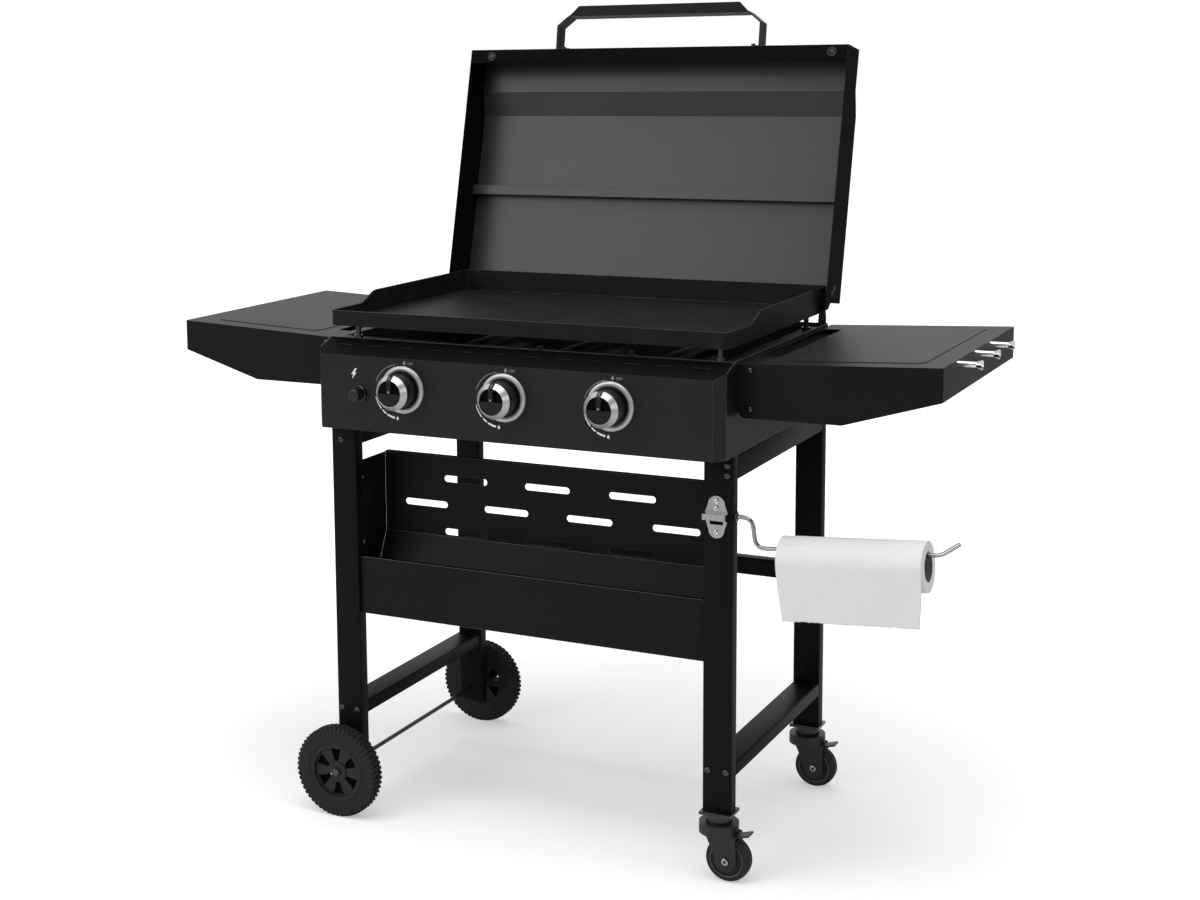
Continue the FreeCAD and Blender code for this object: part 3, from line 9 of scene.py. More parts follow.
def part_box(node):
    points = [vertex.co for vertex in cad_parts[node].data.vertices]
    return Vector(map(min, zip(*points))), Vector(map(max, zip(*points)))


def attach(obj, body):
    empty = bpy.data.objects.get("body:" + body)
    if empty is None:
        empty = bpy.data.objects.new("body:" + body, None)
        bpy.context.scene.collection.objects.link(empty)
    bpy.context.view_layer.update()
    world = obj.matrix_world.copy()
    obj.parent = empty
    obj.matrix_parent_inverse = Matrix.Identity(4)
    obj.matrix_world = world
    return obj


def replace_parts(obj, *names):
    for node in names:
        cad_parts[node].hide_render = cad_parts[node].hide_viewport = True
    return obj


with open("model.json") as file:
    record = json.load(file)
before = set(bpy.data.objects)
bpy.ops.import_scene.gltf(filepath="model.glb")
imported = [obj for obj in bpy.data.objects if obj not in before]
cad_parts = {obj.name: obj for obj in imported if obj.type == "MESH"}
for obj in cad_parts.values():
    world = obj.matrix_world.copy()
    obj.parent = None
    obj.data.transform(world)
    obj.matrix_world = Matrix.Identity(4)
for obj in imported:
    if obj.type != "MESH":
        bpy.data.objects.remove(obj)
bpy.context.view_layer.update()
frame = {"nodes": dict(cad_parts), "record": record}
nodes = frame["nodes"]
slotOfNode = {part["node"]: part["material_slot"] for part in frame["record"]["subparts"]}
bodyOfNode = {n: body for body, group in frame["record"]["behaviour"]["bodies"].items() for n in group}
scene = bpy.context.scene
dice = np.random.default_rng(7)
print("frame loaded,", len(nodes), "nodes")


def added(name, data):
    made = bpy.data.objects.new(name, data)
    scene.collection.objects.link(made)
    return made


# Camera, placed from the front left leg's corner on the floor
cameraSetup = {"right": 1.7925, "front": 2.8439, "height": 1.3545, "turn": 28.29, "tilt": 81.76,
               "roll": -0.82, "lens": 57.5, "shiftX": 0.117, "shiftY": -0.0966}
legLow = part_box("leg_front_left")[0]
cameraData = bpy.data.cameras.new("camera")
cameraData.lens = cameraSetup["lens"]
cameraData.shift_x = cameraSetup["shiftX"]
cameraData.shift_y = cameraSetup["shiftY"]
camera = added("camera", cameraData)
camera.matrix_world = (
    Matrix.Translation((legLow.x + cameraSetup["right"], legLow.y - cameraSetup["front"],
                        cameraSetup["height"]))
    @ Matrix.Rotation(math.radians(cameraSetup["turn"]), 4, "Z")
    @ Matrix.Rotation(math.radians(cameraSetup["tilt"]), 4, "X")
    @ Matrix.Rotation(math.radians(cameraSetup["roll"]), 4, "Z"))
scene.camera = camera


# A shader value. + - and * on it add Math nodes, in either order
class Value:
    def __init__(self, net, socket):
        self.net = net
        self.socket = socket

    def maths(self, operation, first, second):
        return self.net.node("ShaderNodeMath", {"operation": operation}, {0: first, 1: second})

    def __add__(self, other):
        return self.maths("ADD", self, other)

    def __sub__(self, other):
        return self.maths("SUBTRACT", self, other)

    def __rsub__(self, other):
        return self.maths("SUBTRACT", other, self)

    def __mul__(self, other):
        return self.maths("MULTIPLY", self, other)

    __radd__ = __add__
    __rmul__ = __mul__

    # 0 below start, 1 above end, smooth between them
    def ramp(self, start, end):
        return self.net.node("ShaderNodeMapRange", {"interpolation_type": "SMOOTHSTEP"},
                             {0: self, 1: start, 2: end, 3: 0.0, 4: 1.0})

    def most(self, other):
        return self.maths("MAXIMUM", self, other)

    def wave(self):
        return self.net.node("ShaderNodeMath", {"operation": "SINE"}, {0: self})


# A node tree with one way to add a node: its type, its settings, then values or links for its sockets
class Net:
    def __init__(self, tree):
        self.tree = tree

    def node(self, kind, settings=None, values=None, output=0):
        made = self.tree.nodes.new(kind)
        for key, setting in (settings or {}).items():
            setattr(made, key, setting)
        for socket, value in (values or {}).items():
            if isinstance(value, Value):
                self.tree.links.new(value.socket, made.inputs[socket])
            else:
                made.inputs[socket].default_value = value
        return Value(self, made.outputs[output])

    def objectPlace(self):
        return self.node("ShaderNodeTexCoord", output="Object")

    def surfacePlace(self):
        return self.node("ShaderNodeTexCoord", output="UV")

    def stretched(self, place, scale):
        return self.node("ShaderNodeMapping", {}, {0: place, 3: scale})

    def parts(self, place):
        split = self.node("ShaderNodeSeparateXYZ", {}, {0: place})
        return [Value(self, split.socket.node.outputs[i]) for i in range(3)]

    def noise(self, place, scale, detail=2.0, rough=0.5):
        return self.node("ShaderNodeTexNoise", {}, {"Vector": place, "Scale": scale, "Detail": detail,
                                                    "Roughness": rough})

    def cells(self, place, scale, output=0):
        return self.node("ShaderNodeTexVoronoi", {"feature": "F1"}, {"Vector": place, "Scale": scale}, output)

    def mixed(self, share, first, second):
        return self.node("ShaderNodeMix", {"data_type": "RGBA"}, {0: share, 6: first, 7: second}, output=2)

    def bump(self, height, distance, strength):
        return self.node("ShaderNodeBump", {}, {"Height": height, "Distance": distance, "Strength": strength})


socketNames = {"colour": "Base Color", "specular": "Specular IOR Level"}


# A finish is a material whose uniform values are set on its shader, and whose patterns are fed to it
class Finish(Net):
    def __init__(self, name, **uniform):
        self.material = bpy.data.materials.new(name)
        self.material.use_nodes = True
        super().__init__(self.material.node_tree)
        self.shader = self.tree.nodes["Principled BSDF"]
        for key, value in uniform.items():
            self.shader.inputs[socketNames.get(key, key.capitalize())].default_value = value

    def feed(self, **fed):
        for key, value in fed.items():
            self.tree.links.new(value.socket, self.shader.inputs[socketNames.get(key, key.capitalize())])
        return self


def grey(level, warm=0.0):
    return (level * (1 + warm), level, level * (1 - warm), 1.0)


# Powder coat and enamel: fine orange peel, slow changes of gloss, a little dust grain in the colour
def paint(name, level, roughness, specular, peel=1100.0, peelDepth=0.00006, spread=0.10, metallic=0.0):
    f = Finish(name, specular=specular, metallic=metallic)
    place = f.objectPlace()
    fine = f.noise(place, peel, 2.0)
    slow = f.noise(place, 5.0, 4.0, 0.6)
    grain = f.noise(place, 2600.0, 1.0)
    shade = (slow * 0.6 + grain * 0.4).ramp(0.25, 0.75)
    return f.feed(
        colour=f.mixed(shade, grey(level * 0.82), grey(level * 1.2)),
        roughness=roughness + (slow - 0.5) * spread + (fine - 0.5) * 0.05,
        normal=f.bump(fine, peelDepth, 0.6))


# Flat rolled steel with a burnt-on oil finish: mottled, with faint lines along its length
def seasonedSteel():
    f = Finish("griddleSteel", specular=0.12)
    place = f.objectPlace()
    mottle = f.noise(place, 14.0, 6.0, 0.62)
    lines = f.noise(f.stretched(place, (6.0, 260.0, 260.0)), 1.0, 3.0)
    grain = f.noise(place, 1500.0, 2.0)
    tone = (mottle * 0.7 + lines * 0.3).ramp(0.3, 0.72)
    return f.feed(
        colour=f.mixed(tone, grey(0.006), grey(0.012, 0.02)),
        roughness=0.55 + (mottle - 0.5) * 0.2 + (lines - 0.5) * 0.08,
        normal=f.bump(lines * 0.5 + grain * 0.5, 0.00008, 0.5))


# Bare or plated metal: brushed lines along X if asked, smudges in the gloss
def metal(name, colour, roughness, lines=0.0, smudge=0.06, cast=0.0):
    f = Finish(name, metallic=1.0)
    place = f.objectPlace()
    slow = f.noise(place, 22.0, 4.0, 0.6)
    fine = f.noise(f.stretched(place, (60.0, 1400.0, 1400.0)), 1.0, 2.0)
    pits = f.noise(place, 900.0, 3.0)
    lit = tuple(min(1.0, c * 1.06) for c in colour) + (1.0,)
    dim = tuple(c * 0.9 for c in colour) + (1.0,)
    height = fine * lines + pits * cast
    return f.feed(
        colour=f.mixed(slow.ramp(0.3, 0.7), dim, lit),
        roughness=roughness + (slow - 0.5) * smudge * 2 + (fine - 0.5) * lines * 0.15,
        normal=f.bump(height, 0.00006, 0.5))


# Galvanised sheet: patches of different brightness, like frost
def galvanisedSheet():
    f = Finish("galvanised", metallic=1.0)
    tone = f.parts(f.cells(f.objectPlace(), 90.0, "Color"))[0]
    return f.feed(colour=f.mixed(tone, (0.42, 0.43, 0.44, 1), (0.6, 0.61, 0.62, 1)),
                  roughness=0.38 + tone * 0.16,
                  normal=f.bump(tone, 0.00004, 0.4))


# Burner steel: dark, with fine lines along its length and patches browned by heat. The dark colour is partly
# the steel's oxide and partly painted shade, since the burners sit in the shaded gap under the griddle
def burnerTube():
    f = Finish("burnerSteel", metallic=1.0)
    place = f.objectPlace()
    slow = f.noise(place, 9.0, 3.0)
    fine = f.noise(f.stretched(place, (900.0, 30.0, 900.0)), 1.0, 2.0)
    heat = f.noise(place, 5.0, 2.0).ramp(0.42, 0.66)
    tinted = f.mixed(heat, (0.03, 0.029, 0.028, 1), (0.025, 0.021, 0.018, 1))
    return f.feed(colour=f.mixed(slow.ramp(0.3, 0.75), tinted, (0.04, 0.039, 0.038, 1)),
                  roughness=0.5 + (fine - 0.5) * 0.16,
                  normal=f.bump(fine, 0.00003, 0.4))


# Moulded plastic: a fine leather-like grain, or smooth
def plastic(name, level, roughness, grainDepth=0.00003, specular=0.5, grainScale=1800.0):
    f = Finish(name, specular=specular)
    place = f.objectPlace()
    grain = f.cells(place, grainScale)
    slow = f.noise(place, 16.0, 3.0)
    return f.feed(colour=f.mixed(slow, grey(level * 0.85), grey(level * 1.18)),
                  roughness=roughness + (slow - 0.5) * 0.1,
                  normal=f.bump(grain, grainDepth, 0.5))


# Hard rubber: dull, with dusty patches
def rubberLike(name, level, dusty):
    f = Finish(name, specular=0.35)
    place = f.objectPlace()
    dust = f.noise(place, 38.0, 5.0, 0.65).ramp(0.48, 0.8)
    grain = f.noise(place, 1300.0, 3.0)
    return f.feed(colour=f.mixed(dust * dusty, grey(level), grey(level * 2.6, 0.03)),
                  roughness=0.62 + (grain - 0.5) * 0.2,
                  normal=f.bump(grain, 0.00008, 0.5))


# Kitchen paper: rows of pressed dots on the surface's own map, in metres, and soft fibres
def paperSheet():
    f = Finish("paper", specular=0.12)
    u, v = f.parts(f.surfacePlace())[:2]
    dots = (u * (2 * math.pi / 0.0062)).wave() * (v * (2 * math.pi / 0.0062)).wave()
    pressed = dots.ramp(0.05, 0.75)
    fibre = f.noise(f.objectPlace(), 700.0, 4.0, 0.65)
    return f.feed(colour=f.mixed(fibre * 0.5 + pressed * 0.3, (0.74, 0.74, 0.74, 1), (0.83, 0.83, 0.825, 1)),
                  roughness=0.86 + (fibre - 0.5) * 0.1,
                  normal=f.bump(fibre * 0.35 - pressed * 0.65, 0.0005, 0.55))


# The roll's ends: the edges of the wound layers
def paperEdge():
    f = Finish("paperEdge", specular=0.1)
    u, v = f.parts(f.surfacePlace())[:2]
    layers = (v * (2 * math.pi / 0.0011) + f.noise(f.objectPlace(), 60.0, 2.0) * 5.0).wave()
    return f.feed(colour=f.mixed(layers.ramp(-1.0, 1.0), (0.66, 0.66, 0.66, 1), (0.84, 0.84, 0.835, 1)),
                  roughness=0.9 + layers * 0.04,
                  normal=f.bump(layers, 0.0003, 0.5))


def cardboardTube():
    f = Finish("cardboard", specular=0.15)
    place = f.objectPlace()
    fibre = f.noise(f.stretched(place, (300.0, 900.0, 900.0)), 1.0, 4.0, 0.6)
    return f.feed(colour=f.mixed(fibre, (0.12, 0.118, 0.115, 1), (0.17, 0.167, 0.162, 1)),
                  roughness=0.85 + (fibre - 0.5) * 0.1, normal=f.bump(fibre, 0.0002, 0.4))


def glazed():
    f = Finish("ceramic", specular=0.5)
    slow = f.noise(f.objectPlace(), 120.0, 3.0)
    return f.feed(colour=f.mixed(slow, (0.8, 0.79, 0.75, 1), (0.9, 0.89, 0.86, 1)),
                  roughness=0.25 + slow * 0.15)


def ink(name, level):
    f = Finish(name, specular=0.3)
    fine = f.noise(f.objectPlace(), 2400.0, 2.0)
    return f.feed(colour=f.mixed(fine, grey(level * 0.9), grey(level)), roughness=0.4 + fine * 0.15)


finishes = {
    "frame_black": paint("frameBlack", 0.0045, 0.46, 0.09, 1000.0, 0.00006, 0.06),
    "sheet_black": paint("sheetBlack", 0.0065, 0.44, 0.12, 1400.0, 0.00005, 0.06),
    "panel_black": paint("panelBlack", 0.010, 0.38, 0.25, 1800.0, 0.00003, 0.06),
    "hood_black": paint("hoodBlack", 0.025, 0.36, 0.5, 1600.0, 0.00003, 0.06),
    "griddle_steel": seasonedSteel(),
    "plated_steel": metal("platedSteel", (0.16, 0.165, 0.17), 0.3, 0.3),
    "bolt_black": paint("boltBlack", 0.008, 0.18, 1.0, 2400.0, 0.00002),
    "tool_steel": metal("toolSteel", (0.42, 0.425, 0.43), 0.2, 0.0, 0.03),
    "chrome": metal("chrome", (0.86, 0.87, 0.88), 0.12, 0.0, 0.03),
    "knob_plastic": plastic("knobPlastic", 0.006, 0.3, 0.00001, 0.3),
    "black_plastic": plastic("blackPlastic", 0.009, 0.45),
    "wheel_plastic": plastic("wheelPlastic", 0.016, 0.5, 0.00004, 0.3, 1200.0),
    "tyre": rubberLike("tyre", 0.008, 0.4),
    "caster_tread": rubberLike("casterTread", 0.014, 0.35),
    "rubber": rubberLike("rubber", 0.008, 0.2),
    "burner_steel": burnerTube(),
    "brass": metal("brass", (0.4, 0.3, 0.15), 0.3, 0.2),
    "aluminium": metal("aluminium", (0.6, 0.6, 0.6), 0.42, 0.0, 0.08, 0.8),
    "galvanised": galvanisedSheet(),
    "ceramic": glazed(),
    "cardboard": cardboardTube(),
    "paper": paperSheet(),
    # Near-black paint: painted shade in hollows, slots, recesses and pockets, and the colour of the hood ends,
    # hinge brackets and hinge arms
    "deep_black": paint("deepBlack", 0.0025, 0.7, 0.05),
    "bright_trim": paint("brightTrim", 0.5, 0.2, 1.0, 2400.0, 0.00001, 0.04, 0.35),
    # A pale paint on rounded edges and on the small wheels' rings: a painted highlight
    "painted_edge_highlight": paint("paintedEdgeHighlight", 0.085, 0.3, 0.8),
    "gloss_black": paint("glossBlack", 0.008, 0.2, 0.6, 2400.0, 0.00002),
}
paperEdges = paperEdge()
whiteInk = ink("whiteInk", 0.85)
greyInk = ink("greyInk", 0.3)
for name, node in nodes.items():
    node.data.materials.clear()
    node.data.materials.append(finishes[slotOfNode[name]].material)
print("finishes made,", len(bpy.data.materials))


# Collects surfaces into one mesh. A surface is a grid of points, rows by columns
class Shape:
    def __init__(self):
        self.points = []
        self.faces = []
        self.maps = []
        self.kinds = []
        self.count = 0

    # grid has the form (rows, columns, 3), and either way round may close; keep marks the faces that stay
    def surface(self, grid, closeRows=False, closeColumns=False, kind=0, uv=None, keep=None):
        rows, columns = grid.shape[:2]
        index = np.arange(rows * columns).reshape(rows, columns) + self.count
        if closeRows:
            index = np.vstack([index, index[:1]])
        if closeColumns:
            index = np.hstack([index, index[:, :1]])
        quads = np.stack([index[:-1, :-1], index[:-1, 1:], index[1:, 1:], index[1:, :-1]], -1).reshape(-1, 4)
        if keep is not None:
            quads = quads[keep.ravel()]
        self.points.append(grid.reshape(-1, 3))
        self.faces.extend(quads.tolist())
        self.maps.append(np.zeros((rows * columns, 2)) if uv is None else uv.reshape(-1, 2))
        self.kinds.extend([kind] * len(quads))
        self.count += rows * columns
        return self

    # one flat face round an outline of points
    def sheet(self, outline, kind=0):
        outline = np.asarray(outline, float)
        self.points.append(outline)
        self.faces.append(list(range(self.count, self.count + len(outline))))
        self.maps.append(outline[:, :2] * 0.0)
        self.kinds.append(kind)
        self.count += len(outline)
        return self

    # used lists the finishes in the order of the kinds
    def make(self, name, used, body=None, slot=None, merge=True, sharp=32.0):
        mesh = bpy.data.meshes.new(name)
        points = np.concatenate(self.points)
        mesh.from_pydata(points.tolist(), [], self.faces)
        layer = mesh.uv_layers.new(name="UVMap")
        corner = np.zeros(len(mesh.loops), np.int32)
        mesh.loops.foreach_get("vertex_index", corner)
        layer.data.foreach_set("uv", np.concatenate(self.maps)[corner].astype(np.float32).ravel())
        mesh.polygons.foreach_set("material_index", np.array(self.kinds, np.int32))
        if merge:
            form = bmesh.new()
            form.from_mesh(mesh)
            bmesh.ops.remove_doubles(form, verts=form.verts, dist=2e-6)
            bmesh.ops.recalc_face_normals(form, faces=form.faces)
            form.to_mesh(mesh)
            form.free()
        mesh.polygons.foreach_set("use_smooth", np.ones(len(mesh.polygons), bool))
        mesh.set_sharp_from_angle(angle=math.radians(sharp))
        mesh.validate()
        piece = added(name, mesh)
        for finish in used:
            mesh.materials.append(finish.material)
        if body:
            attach(piece, body)
        return piece


def unit(vector):
    vector = np.asarray(vector, float)
    return vector / np.linalg.norm(vector)


# Two directions square to an axis
def acrossAxis(axis):
    axis = unit(axis)
    helper = np.array([0.0, 0.0, 1.0]) if abs(axis[2]) < 0.9 else np.array([1.0, 0.0, 0.0])
    first = unit(np.cross(helper, axis))
    return first, np.cross(axis, first)


# A profile of (radius, height along the axis) turned round the axis through the centre
def turned(shape, profile, centre, axis, steps=48, kind=0, closed=True):
    profile = np.asarray(profile, float)
    first, second = acrossAxis(axis)
    angle = np.linspace(0, 2 * np.pi, steps, endpoint=False)
    ring = np.cos(angle)[:, None] * first + np.sin(angle)[:, None] * second
    grid = (np.asarray(centre, float) + profile[None, :, 1, None] * unit(axis)
            + profile[None, :, 0, None] * ring[:, None, :])
    return shape.surface(grid, closeRows=True, closeColumns=closed, kind=kind)


# Corner points of a rectangle with round corners, in its own plane
def roundRectangle(width, height, radius, steps=4):
    points = []
    for cx, cy, start in ((1, 1, 0), (-1, 1, 90), (-1, -1, 180), (1, -1, 270)):
        turn = np.radians(start + np.linspace(0, 90, steps + 1))
        points.append(np.stack([cx * (width / 2 - radius) + radius * np.cos(turn),
                                cy * (height / 2 - radius) + radius * np.sin(turn)], -1))
    return np.concatenate(points)


# An outline moved inward by a distance, corner by corner
def shrunk(outline, distance):
    edge = np.roll(outline, -1, 0) - outline
    length = np.linalg.norm(edge, axis=1, keepdims=True)
    normal = np.stack([-edge[:, 1], edge[:, 0]], -1) / np.maximum(length, 1e-9)
    before = np.roll(normal, 1, 0)
    share = 1 + (normal * before).sum(1, keepdims=True)
    return outline + distance * (normal + before) / np.maximum(share, 0.3)


def rectangle(x0, x1, y0, y1):
    return [(x0, y0), (x1, y0), (x1, y1), (x0, y1)]


# A flat plate: an outline in the plane of two directions, from low to high along the third, with its
# edges bevelled
def plate(shape, outline, origin, first, second, low, high, bevel=0.0004, kind=0):
    outline = np.asarray(outline, float)
    after = np.roll(outline, -1, 0)
    if (outline[:, 0] * after[:, 1] - outline[:, 1] * after[:, 0]).sum() < 0:
        outline = outline[::-1]
    third = np.cross(first, second)
    small = shrunk(outline, bevel)
    layers = [(small, low), (outline, low + bevel), (outline, high - bevel), (small, high)]
    grid = np.stack([origin + ring[:, :1] * first + ring[:, 1:] * second + place * third
                     for ring, place in layers])
    shape.surface(grid, closeColumns=True, kind=kind)
    return shape.sheet(grid[0][::-1], kind).sheet(grid[-1], kind)


def pointsOf(mesh):
    points = np.zeros(len(mesh.vertices) * 3)
    mesh.vertices.foreach_get("co", points)
    return points.reshape(-1, 3)


# A copy of a node's mesh with its doubles merged and its flat triangles joined
def merged(node, name, tolerance=1e-5):
    source = nodes[node].data
    corners = np.zeros(len(source.loops), np.int32)
    source.loops.foreach_get("vertex_index", corners)
    mesh = bpy.data.meshes.new(name)
    mesh.from_pydata(pointsOf(source).tolist(), [], corners.reshape(-1, 3).tolist())
    form = bmesh.new()
    form.from_mesh(mesh)
    bmesh.ops.remove_doubles(form, verts=form.verts, dist=tolerance)
    bmesh.ops.dissolve_limit(form, angle_limit=math.radians(0.6), verts=form.verts, edges=form.edges)
    form.to_mesh(mesh)
    form.free()
    return mesh


# The CAD shape of a node with its edges rounded, in place of the node. A fold between two large faces gets
# the wide rounding, any other edge the narrow one. lit gives the rounded edges a paler finish, which is a
# painted highlight; dark picks the faces that turn deep black, which on some nodes is painted shade; and own
# is a finish other than the slot's
def softened(node, wide, narrow=None, angle=32.0, segments=2, lit=None, dark=None, own=None):
    narrow = narrow or wide
    mesh = merged(node, node + "_soft")
    mesh.polygons.foreach_set("use_smooth", np.ones(len(mesh.polygons), bool))
    form = bmesh.new()
    form.from_mesh(mesh)
    weight = form.edges.layers.float.new("bevel_weight_edge")
    for edge in form.edges:
        if len(edge.link_faces) == 2 and edge.calc_face_angle(0.0) > math.radians(angle):
            large = edge.is_convex and min(f.calc_area() for f in edge.link_faces) > 0.0015
            edge[weight] = 1.0 if large else narrow / wide
    for face in form.faces:
        if dark and dark(face.calc_center_median(), face.normal):
            face.material_index = 2
    form.to_mesh(mesh)
    form.free()
    piece = added(node + "_soft", mesh)
    skin = finishes[own or slotOfNode[node]].material
    mesh.materials.append(skin)
    mesh.materials.append(finishes["painted_edge_highlight"].material if lit else skin)
    mesh.materials.append(finishes["deep_black"].material)
    edge = piece.modifiers.new("edge", "BEVEL")
    edge.material = 1 if lit else -1
    edge.width = wide
    edge.segments = segments
    edge.limit_method = "WEIGHT"
    edge.harden_normals = True
    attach(piece, bodyOfNode[node])
    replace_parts(piece, node)
    return piece


# Rectangular tubes of the frame: a rounded outline carried along the tube, with its wall showing at open ends
tubes = {"wall": 0.0015, "corner": 0.003, "edge": 0.0004, "open": 0.02, "along": {
    "leg_front_left": 2, "leg_front_right": 2, "leg_rear_left": 2, "leg_rear_right": 2, "rail_lower_left": 1,
    "rail_lower_right": 1, "rail_upper_left": 1, "rail_upper_right": 1, "rear_crossbar": 0}}
for node, along in tubes["along"].items():
    low, high = (np.array(c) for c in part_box(node))
    a, b = [i for i in range(3) if i != along]
    middle = (low + high) / 2
    size = high - low
    outer = roundRectangle(size[a], size[b], tubes["corner"])
    inner = roundRectangle(size[a] - 2 * tubes["wall"], size[b] - 2 * tubes["wall"],
                           tubes["corner"] - tubes["wall"])
    small = outer * (1 - tubes["edge"] / size[a])
    start, end = low[along], high[along]
    stations = [(inner * 0.0, start + tubes["open"]), (inner, start + tubes["open"]), (inner, start),
                (small, start), (outer, start + tubes["edge"]), (outer, end - tubes["edge"]), (small, end),
                (inner, end), (inner, end - tubes["open"]), (inner * 0.0, end - tubes["open"])]
    grid = np.zeros((len(stations), len(outer), 3))
    for row, (ring, place) in enumerate(stations):
        grid[row, :, a] = middle[a] + ring[:, 0]
        grid[row, :, b] = middle[b] + ring[:, 1]
        grid[row, :, along] = place
    tube = Shape().surface(grid, closeColumns=True).make(node + "_tube", [finishes["frame_black"]], "stand",
                                                         "frame_black")
    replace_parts(tube, node)
print("frame tubes made")

# Fold and edge roundings of the sheet and moulded nodes, and the least angle that counts as an edge where it
# isn't the usual one
edgeWidths = {
    "bin_panel": (0.0014, 0.0006, 20), "caster_mounts": (0.0008, 0.0006),
    "caster_fork_front caster_fork_rear": (0.0012, 0.0006),
    "brake_pedal_front brake_pedal_rear": (0.001, 0.0008),
    "body_side_left body_side_right body_front_wall body_back_wall": (0.001, 0.0004),
    "control_panel": (0.0018, 0.0006, 20), "gas_manifold gas_inlet": (0.001, 0.001),
    "griddle_plate": (0.0018, 0.001, 20), "hood_shell": (0.0022, 0.0005, 8), "hood_ends": (0.0006, 0.0005),
    "shelf_brackets": (0.0005, 0.0005), "hood_rib": (0.0008, 0.0005), "hood_handle": (0.0016, 0.0008),
    "hood_hinge_arms hinge_brackets": (0.0008, 0.0008), "shelf_left shelf_right": (0.0018, 0.0005, 8),
    "bottle_opener": (0.0006, 0.0005), "wheel_front wheel_rear": (0.001, 0.0007),
    "grease_cup": (0.0005, 0.0005), "gas_valves": (0.0008, 0.0006),
}
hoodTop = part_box("hood_shell")[1].z
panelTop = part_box("control_panel")[1].z
# Nodes whose rounded edges take the pale edge paint, a painted highlight along their folds
highlightPaintedNodes = {"control_panel", "hood_shell", "griddle_plate", "shelf_left", "shelf_right", "bin_panel",
            "body_front_wall", "body_side_right", "body_side_left", "hood_ends", "caster_mounts",
            "caster_fork_front", "caster_fork_rear", "wheel_front", "wheel_rear", "hood_handle"}
ownFinish = {"bottle_opener": "tool_steel", "caster_mounts": "gloss_black"}
# Faces that turn deep black. On the bin's floor and on the panel's sloping top this is painted shade, where
# little light reaches; the hood shell's top 30 mm also turn deep black, and the hood ends, hinge brackets and
# hinge arms do so all over
darkFaces = {
    "bin_panel": lambda centre, normal: abs(normal.z) > 0.9,
    "control_panel": lambda centre, normal: normal.z > 0.2 and centre.z > panelTop - 0.05,
    "hood_shell": lambda centre, normal: centre.z > hoodTop - 0.03,
    "hood_ends": lambda centre, normal: True,
    "hinge_brackets": lambda centre, normal: True,
    "hood_hinge_arms": lambda centre, normal: True,
}
for group, widths in edgeWidths.items():
    for node in group.split():
        softened(node, *widths, lit=node in highlightPaintedNodes, dark=darkFaces.get(node), own=ownFinish.get(node))
print("edges rounded")


# Millimetres from the front left leg's outer front corner on the floor, as metres of the frame
def spot(x, y, z):
    return np.array([legLow.x + x / 1000, legLow.y + y / 1000, z / 1000])


# A node's box: its low corner, its middle and its high corner
def boxOf(node):
    low, high = (np.array(c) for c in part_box(node))
    return low, (low + high) / 2, high


right, back, up = np.eye(3)
front = -back

# Knobs: a black barrel and face with a tapered bright ring. Heights are from the panel's front
knobSetup = {"barrel": 0.0285, "step": 0.0295, "stepAt": 0.012, "face": 0.0223, "ringWide": 0.0303,
             "ringNarrow": 0.0227, "ringBack": 0.037, "reach": 0.0472, "recess": 0.0044, "fin": 0.0044,
             "finRise": 0.0009, "dot": 0.0018, "dotAt": 0.0035, "stem": 0.004, "stemBack": 0.02,
             "ink": 0.0003, "markHalf": 0.0004, "markLong": 0.0068}
panelY = boxOf("control_panel")[0][1]


# The edge of half a disc: its upper half where side is 1, its lower half where side is -1
def halfDisc(radius, side, steps=24):
    turn = np.radians(np.linspace(0, 180, steps)) * side
    return np.stack([radius * np.cos(turn), radius * np.sin(turn)], -1)[::side]


